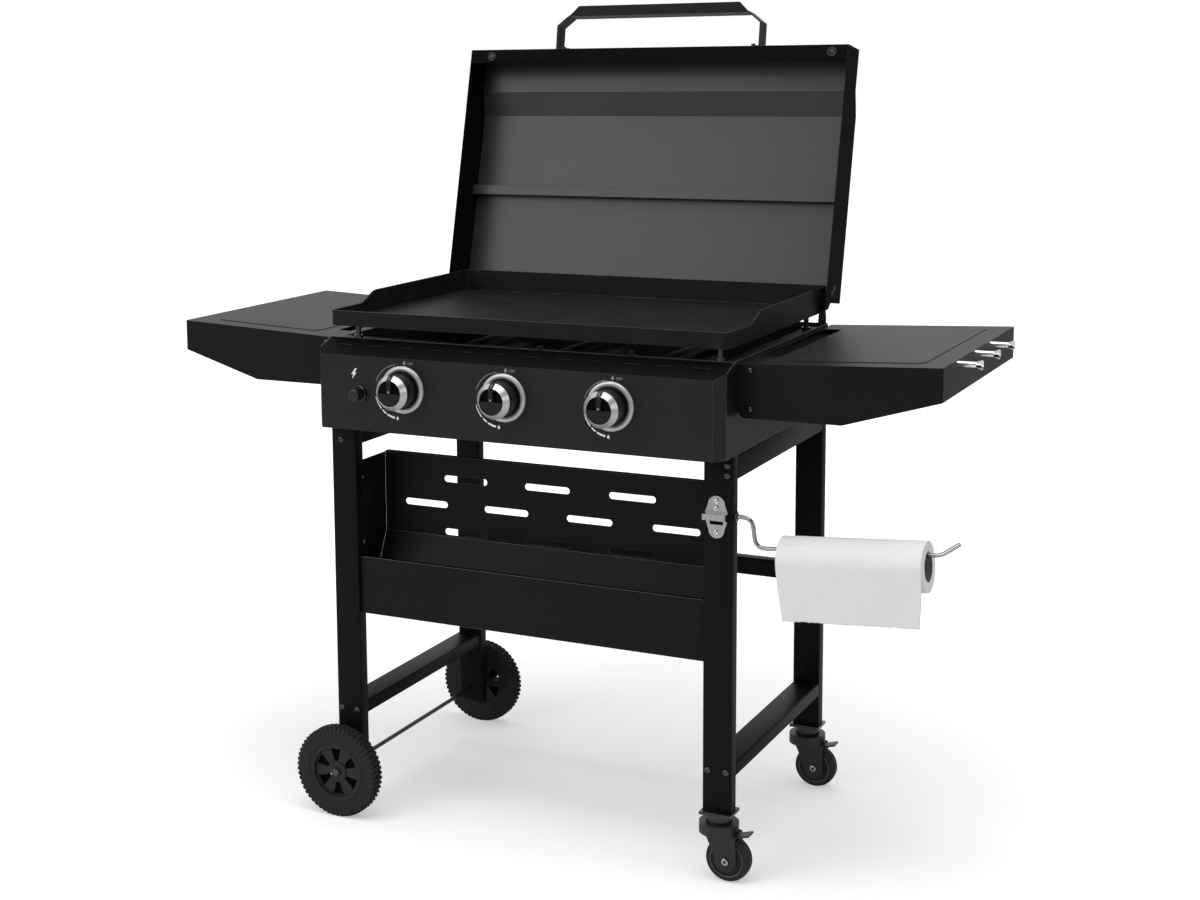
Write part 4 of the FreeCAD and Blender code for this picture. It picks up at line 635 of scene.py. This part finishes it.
def knobPieces(node):
    k = knobSetup
    middle = boxOf(node)[1]
    centre = np.array([middle[0], panelY, middle[2]])
    body = Shape()
    barrel = [(0, -k["stemBack"]), (k["stem"], -k["stemBack"]), (k["stem"], 0.001),
              (k["barrel"] - 0.001, 0.001), (k["barrel"], 0.002), (k["barrel"], k["stepAt"] - 0.0008),
              (k["step"], k["stepAt"]), (k["step"], k["stepAt"] + 0.0008),
              (k["barrel"], k["stepAt"] + 0.0014), (k["barrel"], k["ringBack"] + 0.001),
              (k["face"], k["ringBack"] + 0.001),
              (0, k["ringBack"] + 0.001)]
    turned(body, barrel, centre, front, closed=False)
    plate(body, halfDisc(k["face"], -1), centre, right, up, k["ringBack"], k["reach"] - 0.0003)
    # The face's recessed upper half is deep black: painted shade in the recess
    plate(body, halfDisc(k["face"], 1), centre, right, up, k["ringBack"], k["reach"] - k["recess"], kind=2)
    rise = k["finRise"]
    side = [(k["ringBack"], 0.0), (k["reach"] + rise, 0.0), (k["reach"] + rise, k["ringNarrow"]),
            (k["ringBack"] + rise, k["ringWide"] + 0.0004), (k["ringBack"], k["ringWide"] + 0.0004)]
    plate(body, side, centre, front, up, -k["fin"], k["fin"], 0.0005)
    turned(body, [(0, 0.0), (k["dot"], 0.0), (k["dot"], k["ink"]), (0, k["ink"])],
           centre + front * (k["reach"] + rise) + up * k["dotAt"], front, 20, kind=1, closed=False)
    mark = rectangle(-k["markHalf"], k["markHalf"], 0.0, k["markLong"])
    slope = unit(back * (k["reach"] - k["ringBack"]) + up * (k["ringWide"] - k["ringNarrow"]))
    markHome = centre + front * (k["reach"] + rise - 0.0024) + up * (k["ringNarrow"] + 0.0018)
    plate(body, mark, markHome, right, slope, 0.0, k["ink"], 0.0001, kind=1)
    skins = [finishes["knob_plastic"], greyInk, finishes["deep_black"]]
    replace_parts(body.make(node + "_body", skins, bodyOfNode[node], "knob_plastic"), node)
    ring = [(k["barrel"], k["ringBack"] - 0.0012), (k["ringWide"] - 0.0008, k["ringBack"] - 0.0012),
            (k["ringWide"], k["ringBack"]), (k["ringNarrow"] + 0.0004, k["reach"]),
            (k["ringNarrow"], k["reach"]), (k["face"], k["reach"] - 0.0006),
            (k["face"], k["ringBack"] + 0.002), (k["barrel"], k["ringBack"] + 0.001)]
    turned(Shape(), ring, centre, front, 64).make(node + "_ring", [finishes["bright_trim"]],
                                                  bodyOfNode[node], "chrome")
    return centre


knobCentres = [knobPieces(node) for node in ("knob_left", "knob_middle", "knob_right")]

# Trim rings of the knobs, and the black nut round the igniter button
trimSetup = {"outer": 0.0412, "inner": 0.0324, "depth": 0.0045, "rise": 0.0008, "nutOuter": 0.015,
             "nutInner": 0.0115, "nutDepth": 0.0045, "nutEdge": 0.0012}
t = trimSetup
trim = Shape()
bend = np.radians(np.linspace(0, 180, 13))
middleRadius, halfWidth = (t["outer"] + t["inner"]) / 2, (t["outer"] - t["inner"]) / 2
crown = [(middleRadius + halfWidth * math.cos(a), t["rise"] + (t["depth"] - t["rise"]) * math.sin(a))
         for a in bend]
for centre in knobCentres:
    turned(trim, [(t["inner"], 0.0), (t["outer"], 0.0)] + crown, centre, front, 72)
trimPiece = trim.make("trim_rings", [finishes["bright_trim"]], "stand", "chrome")
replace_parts(trimPiece, "control_bezels")
middle = boxOf("igniter_button")[1]
nutSection = [(t["nutInner"], 0.0), (t["nutOuter"], 0.0), (t["nutOuter"], t["nutDepth"] - t["nutEdge"]),
              (t["nutOuter"] - t["nutEdge"], t["nutDepth"]), (t["nutInner"], t["nutDepth"])]
nut = turned(Shape(), nutSection, np.array([middle[0], panelY, middle[2]]), front, 48)
nut.make("igniter_nut", [finishes["gloss_black"]], "stand", "black_plastic")
softened("igniter_button", 0.0007, own="gloss_black")

# Printing on the panel: a dial over each knob, and the spark mark. Angles in degrees, sizes in millimetres
dialSetup = {"radius": 46.4, "shift": [-8.0, -6.5, -1.0], "drop": 4.0, "ink": 0.15,
             "thin": [(162, 96, 0.9, 0.0)],
             "thick": [(-166, -137, 0.9, 2.0), (-134, -122, 2.2, 2.6), (-119.5, -99.5, 2.8, 3.6)],
             "off": (16.0, 45.5, 6.4), "flame": (4.5, 45.5, 7.0), "flameLow": (-93.0, 47.0, 6.6),
             "bevel": 0.00002}


# A place on the panel, in millimetres right of and above a centre
def onPanel(centre, x, y):
    return centre + right * x / 1000 + up * y / 1000


# A flat printed arc whose width changes along it
def printedArc(shape, centre, radius, start, end, wide0, wide1, kind=0):
    turn = np.radians(np.linspace(start, end, 40))
    width = np.linspace(wide0, wide1, 40)
    thick = np.full(40, dialSetup["ink"])
    width[[0, -1]] = 0.0
    section = np.array([(-0.5, 0.0), (0.5, 0.0), (0.5, 1.0), (-0.5, 1.0)])
    reach = radius + section[None, :, 0] * width[:, None]
    grid = (centre + (reach * np.cos(turn)[:, None])[..., None] * right / 1000
            + (reach * np.sin(turn)[:, None])[..., None] * up / 1000
            + (section[None, :, 1] * thick[:, None])[..., None] * front / 1000)
    return shape.surface(grid, closeColumns=True, kind=kind)


# A drop with its point on top: a circle drawn out into a tip
def drop(size):
    turn = np.radians(np.arange(0, 360, 15))
    pull = np.clip(np.sin(turn), 0, 1) ** 3
    return np.stack([0.36 * size * np.cos(turn) * (1 - 0.75 * pull),
                     0.36 * size * np.sin(turn) + 0.34 * size * pull], -1)


# Words as a mesh of thin solid letters, placed on the panel
def printed(words, size, centre):
    curve = bpy.data.curves.new("words", "FONT")
    curve.body = words
    curve.size = size / 1000
    curve.align_x = "CENTER"
    curve.align_y = "CENTER"
    curve.extrude = dialSetup["ink"] / 2000
    holder = added("words", curve)
    bpy.context.view_layer.update()
    mesh = bpy.data.meshes.new_from_object(holder.evaluated_get(bpy.context.evaluated_depsgraph_get()))
    bpy.data.objects.remove(holder)
    mesh.vertices.foreach_set("co", (centre + pointsOf(mesh) @ np.stack([right, up, front])).ravel())
    mesh.materials.clear()
    return mesh


lines = Shape()
words = []
d = dialSetup
inkDepth = d["ink"] / 1000
for centre, shift in zip(knobCentres, d["shift"]):
    dial = onPanel(centre, shift, -d["drop"])
    for start, end, width, inward in d["thin"]:
        printedArc(lines, dial, d["radius"] - inward, start, end, width, width, kind=1)
    for start, end, first, last in d["thick"]:
        printedArc(lines, dial, d["radius"], start, end, first, last)
    turn, away, size = d["flameLow"]
    turn = math.radians(turn)
    at = dial + (right * math.cos(turn) + up * math.sin(turn)) * away / 1000
    plate(lines, drop(size) / 1000, at, right, up, 0.0, inkDepth, d["bevel"])
    x, y, size = d["flame"]
    plate(lines, drop(size) / 1000, onPanel(centre, x, y), right, up, 0.0, inkDepth, d["bevel"], kind=1)
    x, y, size = d["off"]
    words.append(printed("OFF", size, onPanel(centre, x, y)))
spark = np.array([(84.5, 824.5), (76.0, 813.2), (80.9, 814.3), (77.6, 805.5), (87.2, 817.6), (82.6, 816.7),
                  (88.0, 824.5)])
plate(lines, spark / 1000, np.array([legLow.x, panelY, 0.0]), right, up, 0.0, inkDepth, d["bevel"])
lines.make("dial_print", [whiteInk, greyInk], "stand", "panel_black", sharp=60.0)
for number, mesh in enumerate(words):
    piece = added("dial_words_%d" % number, mesh)
    mesh.materials.append(greyInk.material)
    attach(piece, "stand")
print("controls made")


# Loose parts of a mesh: the least vertex number spreads along the edges until nothing changes
def looseParts(mesh):
    ends = np.zeros(len(mesh.edges) * 2, np.int32)
    mesh.edges.foreach_get("vertices", ends)
    first, second = ends.reshape(-1, 2).T
    label = np.arange(len(mesh.vertices))
    while True:
        spread = label.copy()
        least = np.minimum(label[first], label[second])
        np.minimum.at(spread, first, least)
        np.minimum.at(spread, second, least)
        if (spread == label).all():
            return label
        label = spread


# Screws and bolts: each loose solid of a node becomes a turned one with a domed head and a round socket. Its
# axis is the one across which the solid is as wide as it is high, and its head is at the wide end
def fasteners(node, finish):
    mesh = merged(node, node + "_parts")
    points = pointsOf(mesh)
    label = looseParts(mesh)
    shape = Shape()
    for number in np.unique(label):
        cloud = points[label == number]
        middle = (cloud.min(0) + cloud.max(0)) / 2
        size = np.ptp(cloud, 0)
        axisOf = int(np.argmin([abs(size[(i + 1) % 3] - size[(i + 2) % 3]) for i in range(3)]))
        axis = np.eye(3)[axisOf]
        along = (cloud - middle) @ axis
        away = np.linalg.norm((cloud - middle) - along[:, None] * axis, axis=1)
        half = size[axisOf] / 2
        lowEnd, highEnd = away[along < -half + 0.0004].max(), away[along > half - 0.0004].max()
        if lowEnd > highEnd + 1e-6:
            axis = -axis
            along = -along
        head = away.max()
        shaft = min(lowEnd, highEnd)
        rise = half - along[(away > head - 0.0002)].min()
        rise = min(rise, head * 0.8)
        profile = [(0, -half), (shaft * 0.9, -half), (shaft, -half + 0.0004), (shaft, half - rise),
                   (head, half - rise), (head, half - rise * 0.7), (head * 0.86, half - rise * 0.28),
                   (head * 0.6, half), (head * 0.42, half), (head * 0.38, half - rise * 0.55),
                   (0, half - rise * 0.55)]
        turned(shape, profile, middle, axis, 20, closed=False)
    piece = shape.make(node + "_turned", [finish], bodyOfNode[node], slotOfNode[node])
    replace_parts(piece, node)
    return piece


fasteners("frame_bolts", finishes["bolt_black"])
fasteners("hood_screws", finishes["bolt_black"])
print("fasteners made")

# Tyres: a rounded section round the axle, cut by lugs in three rows that lean both ways
tyreSetup = {"lugs": 54, "stepsPerLug": 8, "depth": 0.0031, "lean": 1.1, "rim": 0.0495, "corner": 0.005,
             "rib": 0.0009}


def tyrePiece(node):
    t = tyreSetup
    low, middle, high = boxOf(node)
    radius = (high[2] - low[2]) / 2
    half = (high[1] - low[1]) / 2
    c = t["corner"]
    bend = np.radians(np.linspace(0, 90, 6))
    wall = [(t["rim"], half - 0.0005), (t["rim"] + 0.002, half - 0.0002), (t["rim"] + 0.005, half),
            (t["rim"] + 0.0056, half - 0.0008), (t["rim"] + 0.0062, half), (radius - c - 0.008, half)]
    shoulder = [(radius - c + c * math.sin(a), half - c + c * math.cos(a)) for a in bend]
    tread = [(radius, (half - c) * s) for s in (0.8, 0.6, 0.42, 0.38, 0.2, 0.0)]
    one = np.array(wall + shoulder + tread)
    section = np.concatenate([one, one[::-1][1:] * np.array([1, -1])])
    inner = np.array([(t["rim"], -half + 0.0005), (t["rim"], 0.0)])
    section = np.concatenate([section, inner])
    steps = t["lugs"] * t["stepsPerLug"]
    turn = np.linspace(0, 2 * np.pi, steps, endpoint=False)
    reach, across = section[:, 0], section[:, 1]
    share = across / (half - c)
    row = np.where(np.abs(share) < 0.4, 0.5, 0.0)
    phase = turn[:, None] * t["lugs"] / (2 * np.pi) + row[None] + t["lean"] * np.abs(share)[None] * 0.5
    lug = 1 / (1 + np.exp(-14 * (np.sin(2 * np.pi * phase) + 0.25)))
    treadPart = np.clip((reach - (radius - c * 0.95)) / (c * 0.3), 0, 1)
    groove = ((np.abs(share) > 0.3) & (np.abs(share) < 0.45)) & (reach > radius - 0.0005)
    sidePart = ((reach > radius - c - 0.009) & (reach < radius - c * 0.6)).astype(float)
    deep = (reach[None] - t["depth"] * treadPart[None] * (1 - lug)
            - np.where(groove, t["depth"] * 0.8, 0.0)[None] * lug)
    wide = across[None] - np.sign(across)[None] * t["rib"] * sidePart[None] * (1 - lug)
    grid = (middle + wide[..., None] * back + (deep * np.cos(turn)[:, None])[..., None] * right
            + (deep * np.sin(turn)[:, None])[..., None] * up)
    piece = Shape().surface(grid, closeRows=True, closeColumns=True).make(
        node + "_tread", [finishes["tyre"]], bodyOfNode[node], "tyre", sharp=40.0)
    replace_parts(piece, node)


for node in ("tyre_front", "tyre_rear"):
    tyrePiece(node)

# Painted shade: deep black discs inside the windows of the big wheels, standing for the shade in the pockets,
# with a gap where the round hole passes
pocketShadeSetup = {"inner": 0.0195, "outer": 0.0455, "from": 0.00135, "to": 0.0019, "hole": 0.0054,
               "place": {"wheel_front": (0.0175, 208.0), "wheel_rear": (0.036, 15.0)}}
k = pocketShadeSetup
for node, (place, angle) in k["place"].items():
    middle = boxOf("tyre_" + node.split("_")[1])[1]
    radii = np.linspace(k["inner"], k["outer"], 27)
    turn = np.linspace(0, 2 * np.pi, 181)
    hole = place * np.array([math.cos(math.radians(angle)), math.sin(math.radians(angle))])
    flat = np.stack([radii[:, None] * np.cos(turn), radii[:, None] * np.sin(turn)], -1)
    keep = np.linalg.norm(flat - hole, axis=-1) > k["hole"]
    keep = keep[:-1, :-1] & keep[1:, :-1] & keep[:-1, 1:] & keep[1:, 1:]
    shape = Shape()
    for side in (-1, 1):
        for depth in (k["from"], k["to"]):
            grid = middle + flat[..., :1] * right + flat[..., 1:] * up + side * depth * back
            shape.surface(grid, keep=keep)
    shape.make(node + "_pocket_shade", [finishes["deep_black"]], bodyOfNode[node], "wheel_plastic")

# Caster wheels: a turned section with rings in its faces
casterSetup = {"bore": 0.0031, "hub": 0.011, "ringIn": 0.0262, "ringOut": 0.0296}
k = casterSetup
for node in ("caster_wheel_front", "caster_wheel_rear"):
    low, middle, high = boxOf(node)
    radius = (high[2] - low[2]) / 2
    half = (high[1] - low[1]) / 2
    one = [(k["bore"], 0.0), (k["bore"], half - 0.0002), (k["hub"], half - 0.0002),
           (k["hub"] + 0.001, half - 0.0012), (k["ringIn"] - 0.0012, half - 0.0016),
           (k["ringIn"], half - 0.0002), (k["ringOut"], half - 0.0002),
           (k["ringOut"] + 0.0008, half - 0.0012), (radius - 0.005, half - 0.001),
           (radius - 0.0035, half - 0.0014), (radius - 0.0012, half - 0.0035), (radius - 0.0003, half - 0.006),
           (radius, half - 0.009)]
    section = np.array(one + [(r, -y) for r, y in one[::-1]][:-1])
    piece = turned(Shape(), section, middle, back, 96).make(node + "_turned", [finishes["caster_tread"]],
                                                            bodyOfNode[node], "caster_tread", sharp=28.0)
    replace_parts(piece, node)
print("wheels made")

# Paper: a wound roll on its core, and the loose sheet that lies on the roll's front and hangs from it
paperSetup = {"radius": 0.0405, "core": 0.0225, "wall": 0.0014, "half": 0.116, "slope": 0.07104,
              "lift": 0.001, "start": 52.0, "taper": 0.007, "ripple": 0.0007, "ragged": 0.0006,
              "skin": 0.0003, "flat": (0.232, 0.125)}
rollMiddle = boxOf("paper_roll")[1]
p = paperSetup
rollAxis = unit([1.0, 0.0, p["slope"]])
rollDown = np.array([rollAxis[2], 0.0, -rollAxis[0]])
half = p["half"]


# A tube of paper: a profile turned round the roll's axis, its map in metres, round the tube and along it
def paperTube(name, outer, inner, length, skin, ends, slotName, node):
    shape = Shape()
    turn = np.linspace(0, 2 * np.pi, 97)
    first, second = acrossAxis(rollAxis)
    ring = np.cos(turn)[:, None] * first + np.sin(turn)[:, None] * second
    strips = [([(outer, -length), (outer, length)], 0, False),
              ([(inner, length), (inner, -length)], 1, False),
              ([(r, length) for r in np.linspace(outer, inner, 7)], 1, True),
              ([(r, -length) for r in np.linspace(inner, outer, 7)], 1, True)]
    for profile, kind, radial in strips:
        profile = np.array(profile)
        grid = (rollMiddle + profile[None, :, 1, None] * rollAxis
                + profile[None, :, 0, None] * ring[:, None, :])
        along = profile[:, 0] if radial else profile[:, 1]
        uv = np.stack(np.broadcast_arrays(turn[:, None] * outer, along[None]), -1)
        shape.surface(grid, kind=kind, uv=uv)
    piece = shape.make(name, [skin, ends], bodyOfNode[node], slotName)
    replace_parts(piece, node)
    return piece


paperTube("paper_wound", p["radius"], p["core"] + p["wall"], half, finishes["paper"], paperEdges,
          "paper", "paper_roll")
paperTube("paper_tube", p["core"] + p["wall"], p["core"], half, finishes["cardboard"], finishes["cardboard"],
          "cardboard", "paper_core")

# The sheet's length runs over the roll's front, then straight down; its lower edge is a little ragged
reach = p["radius"] + p["lift"]
arc = math.radians(p["start"])
hang = p["flat"][1] - reach * arc
down = np.linspace(0, p["flat"][1], 61)
wide = np.linspace(-1, 1, 121)
turn = np.clip(arc - down / reach, 0, None)
drop = np.clip(down - reach * arc, 0, None)
share = drop / hang
side = wide[None] * (half - p["taper"] * share[:, None] ** 1.5)
out = reach * np.cos(turn) - reach
wave = p["ripple"] * share[:, None] * np.sin(side * 55 + 2 * share[:, None])
ragged = p["ragged"] * dice.standard_normal(121) * (share[:, None] > 0.999)
fall = -reach * np.sin(turn) + drop
rest = rollMiddle - reach * back
grid = (rest + side[..., None] * rollAxis - (out[:, None] + wave)[..., None] * back
        + (fall[:, None] + ragged)[..., None] * rollDown)
uv = np.stack(np.broadcast_arrays(side, -down[:, None]), -1)
sheetShape = Shape().surface(grid, uv=uv)
paperPiece = sheetShape.make("paper_sheet", [finishes["paper"]], bodyOfNode["paper_tail"], "paper",
                             merge=False, sharp=80.0)
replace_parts(paperPiece, "paper_tail")
skin = paperPiece.modifiers.new("skin", "SOLIDIFY")
skin.thickness = p["skin"]
skin.offset = 0.0
print("paper made")


# A round bar along corner points, each corner rounded by a curve that starts and ends a reach away from it
def bentBar(shape, corners, reaches, radius):
    corners = np.asarray(corners, float)
    share = np.linspace(0, 1, 13)[:, None]
    path = [corners[:1]]
    for before, corner, after, reach in zip(corners, corners[1:], corners[2:], reaches):
        start, end = corner - unit(corner - before) * reach, corner + unit(after - corner) * reach
        path.append((1 - share) ** 2 * start + 2 * share * (1 - share) * corner + share ** 2 * end)
    path = np.concatenate(path + [corners[-1:]])
    along = np.gradient(path, axis=0)
    along /= np.linalg.norm(along, axis=1, keepdims=True)
    side = np.cross(along, back)
    side /= np.linalg.norm(side, axis=1, keepdims=True)
    turn = np.linspace(0, 2 * np.pi, 20, endpoint=False)[None, :, None]
    grow = np.concatenate([[0.0, 1.0], np.ones(len(path) - 2), [1.0, 0.0]])[:, None, None]
    path = path[np.concatenate([[0], np.arange(len(path)), [len(path) - 1]])]
    side = side[np.concatenate([[0], np.arange(len(side)), [len(side) - 1]])]
    grid = path[:, None] + radius * grow * (np.cos(turn) * back + np.sin(turn) * side[:, None])
    return shape.surface(grid, closeColumns=True)


# Towel rod, in millimetres from the leg's corner, with its round foot on the leg
rodSetup = {"path": [(754, 14.5, 615.5), (782, 14.5, 615.5), (788, 14.5, 567.0), (1085, 14.5, 588.1),
                     (1113.5, 14.5, 608.8)],
            "reach": [0.016, 0.018, 0.009], "radius": 0.0035,
            "foot": [(0.0, 0.0), (0.009, 0.0), (0.009, 0.0018), (0.0078, 0.003), (0.0045, 0.003),
                     (0.0036, 0.0042), (0.0, 0.0042)]}
rodPlaces = [spot(*place) for place in rodSetup["path"]]
rodShape = bentBar(Shape(), rodPlaces, rodSetup["reach"], rodSetup["radius"])
rodPiece = rodShape.make("towel_bar", [finishes["tool_steel"]], bodyOfNode["towel_rod"], "chrome")
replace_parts(rodPiece, "towel_rod")
foot = turned(Shape(), rodSetup["foot"], rodPlaces[0], right, 32, closed=False)
foot.make("towel_bar_foot", [finishes["gloss_black"]], "stand", "chrome")

# A painted shadow: a deep black plate under the opener's catch, where shade falls; and slotted screw heads at
# heights in millimetres from its middle, each slot a deep black bar of painted shade
openerSetup = {"mouth": (0.011, -0.0125, -0.0035), "spread": 1.1, "inset": 0.002, "slot": (0.0032, 0.0005),
               "screw": 0.0042, "places": (26.0, 13.5, -24.5)}
o = openerSetup
low, middle, high = boxOf("bottle_opener")
home = np.array([middle[0], high[1] - o["inset"], middle[2]])
wide, bottom, top = o["mouth"]
outline = [(-wide, bottom), (wide, bottom), (wide * o["spread"], top), (-wide * o["spread"], top)]
mouth = Shape()
plate(mouth, outline, home, right, up, 0.0001, 0.0004, 0.0001)
mouth.make("opener_shadow_plate", [finishes["deep_black"]], "stand", "chrome")
heads = Shape()
r = o["screw"]
screwDome = [(0, 0.0), (r, 0.0), (r, 0.0008), (r * 0.8, 0.0019), (r * 0.4, 0.0024), (0, 0.0025)]
long, narrow = o["slot"]
for place in o["places"]:
    at = home + up * place / 1000
    turned(heads, screwDome, at, front, 24, closed=False)
    plate(heads, rectangle(-long, long, -narrow, narrow), at, unit(right + up), unit(up - right),
          0.002, 0.00265, 0.0001, kind=1)
heads.make("opener_screws", [finishes["chrome"], finishes["deep_black"]], "stand", "chrome")

# A raised ring on each face of the small wheels, in the pale edge paint as a painted highlight, and a rivet on
# each caster fork whose hollow middle is a deep black disc of painted shade
rivetSetup = {"out": 0.0081, "lift": 0.0002,
              "ring": [(0.0272, 0.0), (0.0286, 0.0), (0.0284, 0.0006), (0.0279, 0.0009), (0.0274, 0.0006)],
              "head": [(0.0022, 0.0002), (0.0058, 0.0), (0.0058, 0.0004), (0.0048, 0.001), (0.0036, 0.0012),
                       (0.0024, 0.0009)],
              "middle": [(0.0, 0.0002), (0.0023, 0.0002), (0.0023, 0.0004), (0.0, 0.0004)]}
for end in ("front", "rear"):
    wheel = "caster_wheel_" + end
    low, middle, high = boxOf(wheel)
    half = (high[1] - low[1]) / 2
    ring = Shape()
    for side in (-1, 1):
        turned(ring, rivetSetup["ring"], middle + side * (half + rivetSetup["lift"]) * back, back * side, 72)
    ring.make("caster_highlight_ring_" + end, [finishes["painted_edge_highlight"]], bodyOfNode[wheel], "caster_tread")
    rivet = Shape()
    at = np.array([middle[0], middle[1] - half - rivetSetup["out"], middle[2]])
    turned(rivet, rivetSetup["head"], at, front, 40)
    turned(rivet, rivetSetup["middle"], at, front, 24, kind=1, closed=False)
    rivet.make("caster_rivet_" + end, [finishes["tool_steel"], finishes["deep_black"]],
               bodyOfNode["caster_fork_" + end], "black_plastic")

# Painted shade: a deep black plate under the long slot of each shelf, standing for the shade seen through the
# slot
slotShadeSetup = {"near": 0.004, "far": 0.11, "front": 72, "rear": 0.006, "field": 0.0165, "below": 0.006,
                "thick": 0.0012, "bevel": 0.0003}
c = slotShadeSetup
for node, sign in (("shelf_left", -1), ("shelf_right", 1)):
    low, middle, high = boxOf(node)
    inner = high[0] if sign < 0 else low[0]
    edge = sorted((inner + sign * c["near"], inner + sign * c["far"]))
    base = high[2] - c["field"] - c["below"]
    outline = rectangle(*edge, spot(0, c["front"], 0)[1], high[1] - c["rear"])
    plate(Shape(), outline, np.zeros(3), right, back, base, base + c["thick"], c["bevel"]).make(
        node + "_slot_shade", [finishes["deep_black"]], "stand", slotOfNode[node])
print("small pieces made")

# Stage: a wide pale floor and a plain studio
floorSetup = {"level": 0.8, "lift": (0.36, 0.8), "near": 0.5, "far": 2.6, "reach": 40.0}
floorShape = Shape()
reach = floorSetup["reach"]
floorShape.sheet([(-reach, -reach, 0), (reach, -reach, 0), (reach, reach, 0), (-reach, reach, 0)])
floor = floorShape.make("floor", [], merge=False)
floorFinish = Finish("floor", colour=grey(floorSetup["level"]), roughness=0.9, specular=0.1)


def shining(strength, level=1.0):
    return floorFinish.node("ShaderNodeEmission", {}, {"Color": grey(level), "Strength": strength})


# The floor's own light, seen only by the camera, grows away from the object, so that the floor meets the
# background without an edge
place = floorFinish.objectPlace()
away = floorFinish.node("ShaderNodeVectorMath", {"operation": "LENGTH"}, {0: place}, output=1)
share = away.ramp(floorSetup["near"], floorSetup["far"])
speck = floorFinish.noise(place, 220.0, 2.0)
level = floorSetup["level"]
floorFinish.feed(colour=floorFinish.mixed(speck, grey(level * 0.985), grey(level)),
                 roughness=0.85 + speck * 0.08)
dim, full = (shining(strength) for strength in floorSetup["lift"])
glow = floorFinish.node("ShaderNodeMixShader", {}, {0: share, 1: dim, 2: full})
quiet = shining(0.0, 0.0)
eye = Value(floorFinish, floorFinish.node("ShaderNodeLightPath").socket.node.outputs["Is Camera Ray"])
lift = floorFinish.node("ShaderNodeMixShader", {}, {0: eye, 1: quiet, 2: glow})
surface = Value(floorFinish, floorFinish.shader.outputs[0])
whole = floorFinish.node("ShaderNodeAddShader", {}, {0: surface, 1: lift})
floorFinish.tree.links.new(whole.socket, floorFinish.tree.nodes["Material Output"].inputs["Surface"])
floor.data.materials.append(floorFinish.material)

# The studio: white to the camera; in reflections it is bright behind the object and to the west, and dim in
# front of it and to the east
studioSetup = {"mirrored": 0.3, "fill": 0.5, "west": 0.6, "east": 0.75}
world = bpy.data.worlds.new("studio")
scene.world = world
world.use_nodes = True
sky = Net(world.node_tree)
world.node_tree.nodes.clear()
rays = sky.node("ShaderNodeLightPath").socket.node.outputs
cameraRay = Value(sky, rays["Is Camera Ray"])
mirrorRay = Value(sky, rays["Is Glossy Ray"]).most(Value(sky, rays["Is Transmission Ray"]))
east, north, height = sky.parts(sky.node("ShaderNodeTexCoord", output="Generated"))
behind = north.ramp(-0.2, 0.7) * (1.0 - east.ramp(0.1, 0.45))
west = (0.0 - east).ramp(0.35, 0.95) * studioSetup["west"]
least = 1.0 - east.ramp(0.2, 0.6) * studioSetup["east"]
level = behind.most(west) * (1.0 - studioSetup["mirrored"]) + studioSetup["mirrored"] * least
strength = mirrorRay * level + (1.0 - mirrorRay) * studioSetup["fill"]
strength = cameraRay + (1.0 - cameraRay) * strength
backdrop = sky.node("ShaderNodeBackground", {}, {"Color": (1, 1, 1, 1), "Strength": strength})
worldOutput = world.node_tree.nodes.new("ShaderNodeOutputWorld")
world.node_tree.links.new(backdrop.socket, worldOutput.inputs["Surface"])

lampSetup = {
    "top": {"at": (0.3, -0.3, 3.4), "aim": (0.3, 0.2, 0.7), "size": 3.0, "power": 70.0},
    "left": {"at": (-1.9, -3.0, 2.33), "aim": (0.3, 0.0, 0.8), "size": 2.4, "power": 42.0},
    "right": {"at": (3.6, -0.6, 1.8), "aim": (0.3, 0.0, 0.7), "size": 1.6, "power": 12.0},
}
for name, setup in lampSetup.items():
    lampData = bpy.data.lights.new(name, "AREA")
    lampData.size = setup["size"]
    lampData.energy = setup["power"]
    lamp = added(name, lampData)
    lamp.location = setup["at"]
    lamp.rotation_euler = (Vector(setup["aim"]) - Vector(setup["at"])).to_track_quat("-Z", "Y").to_euler()

scene.view_settings.view_transform = "Standard"
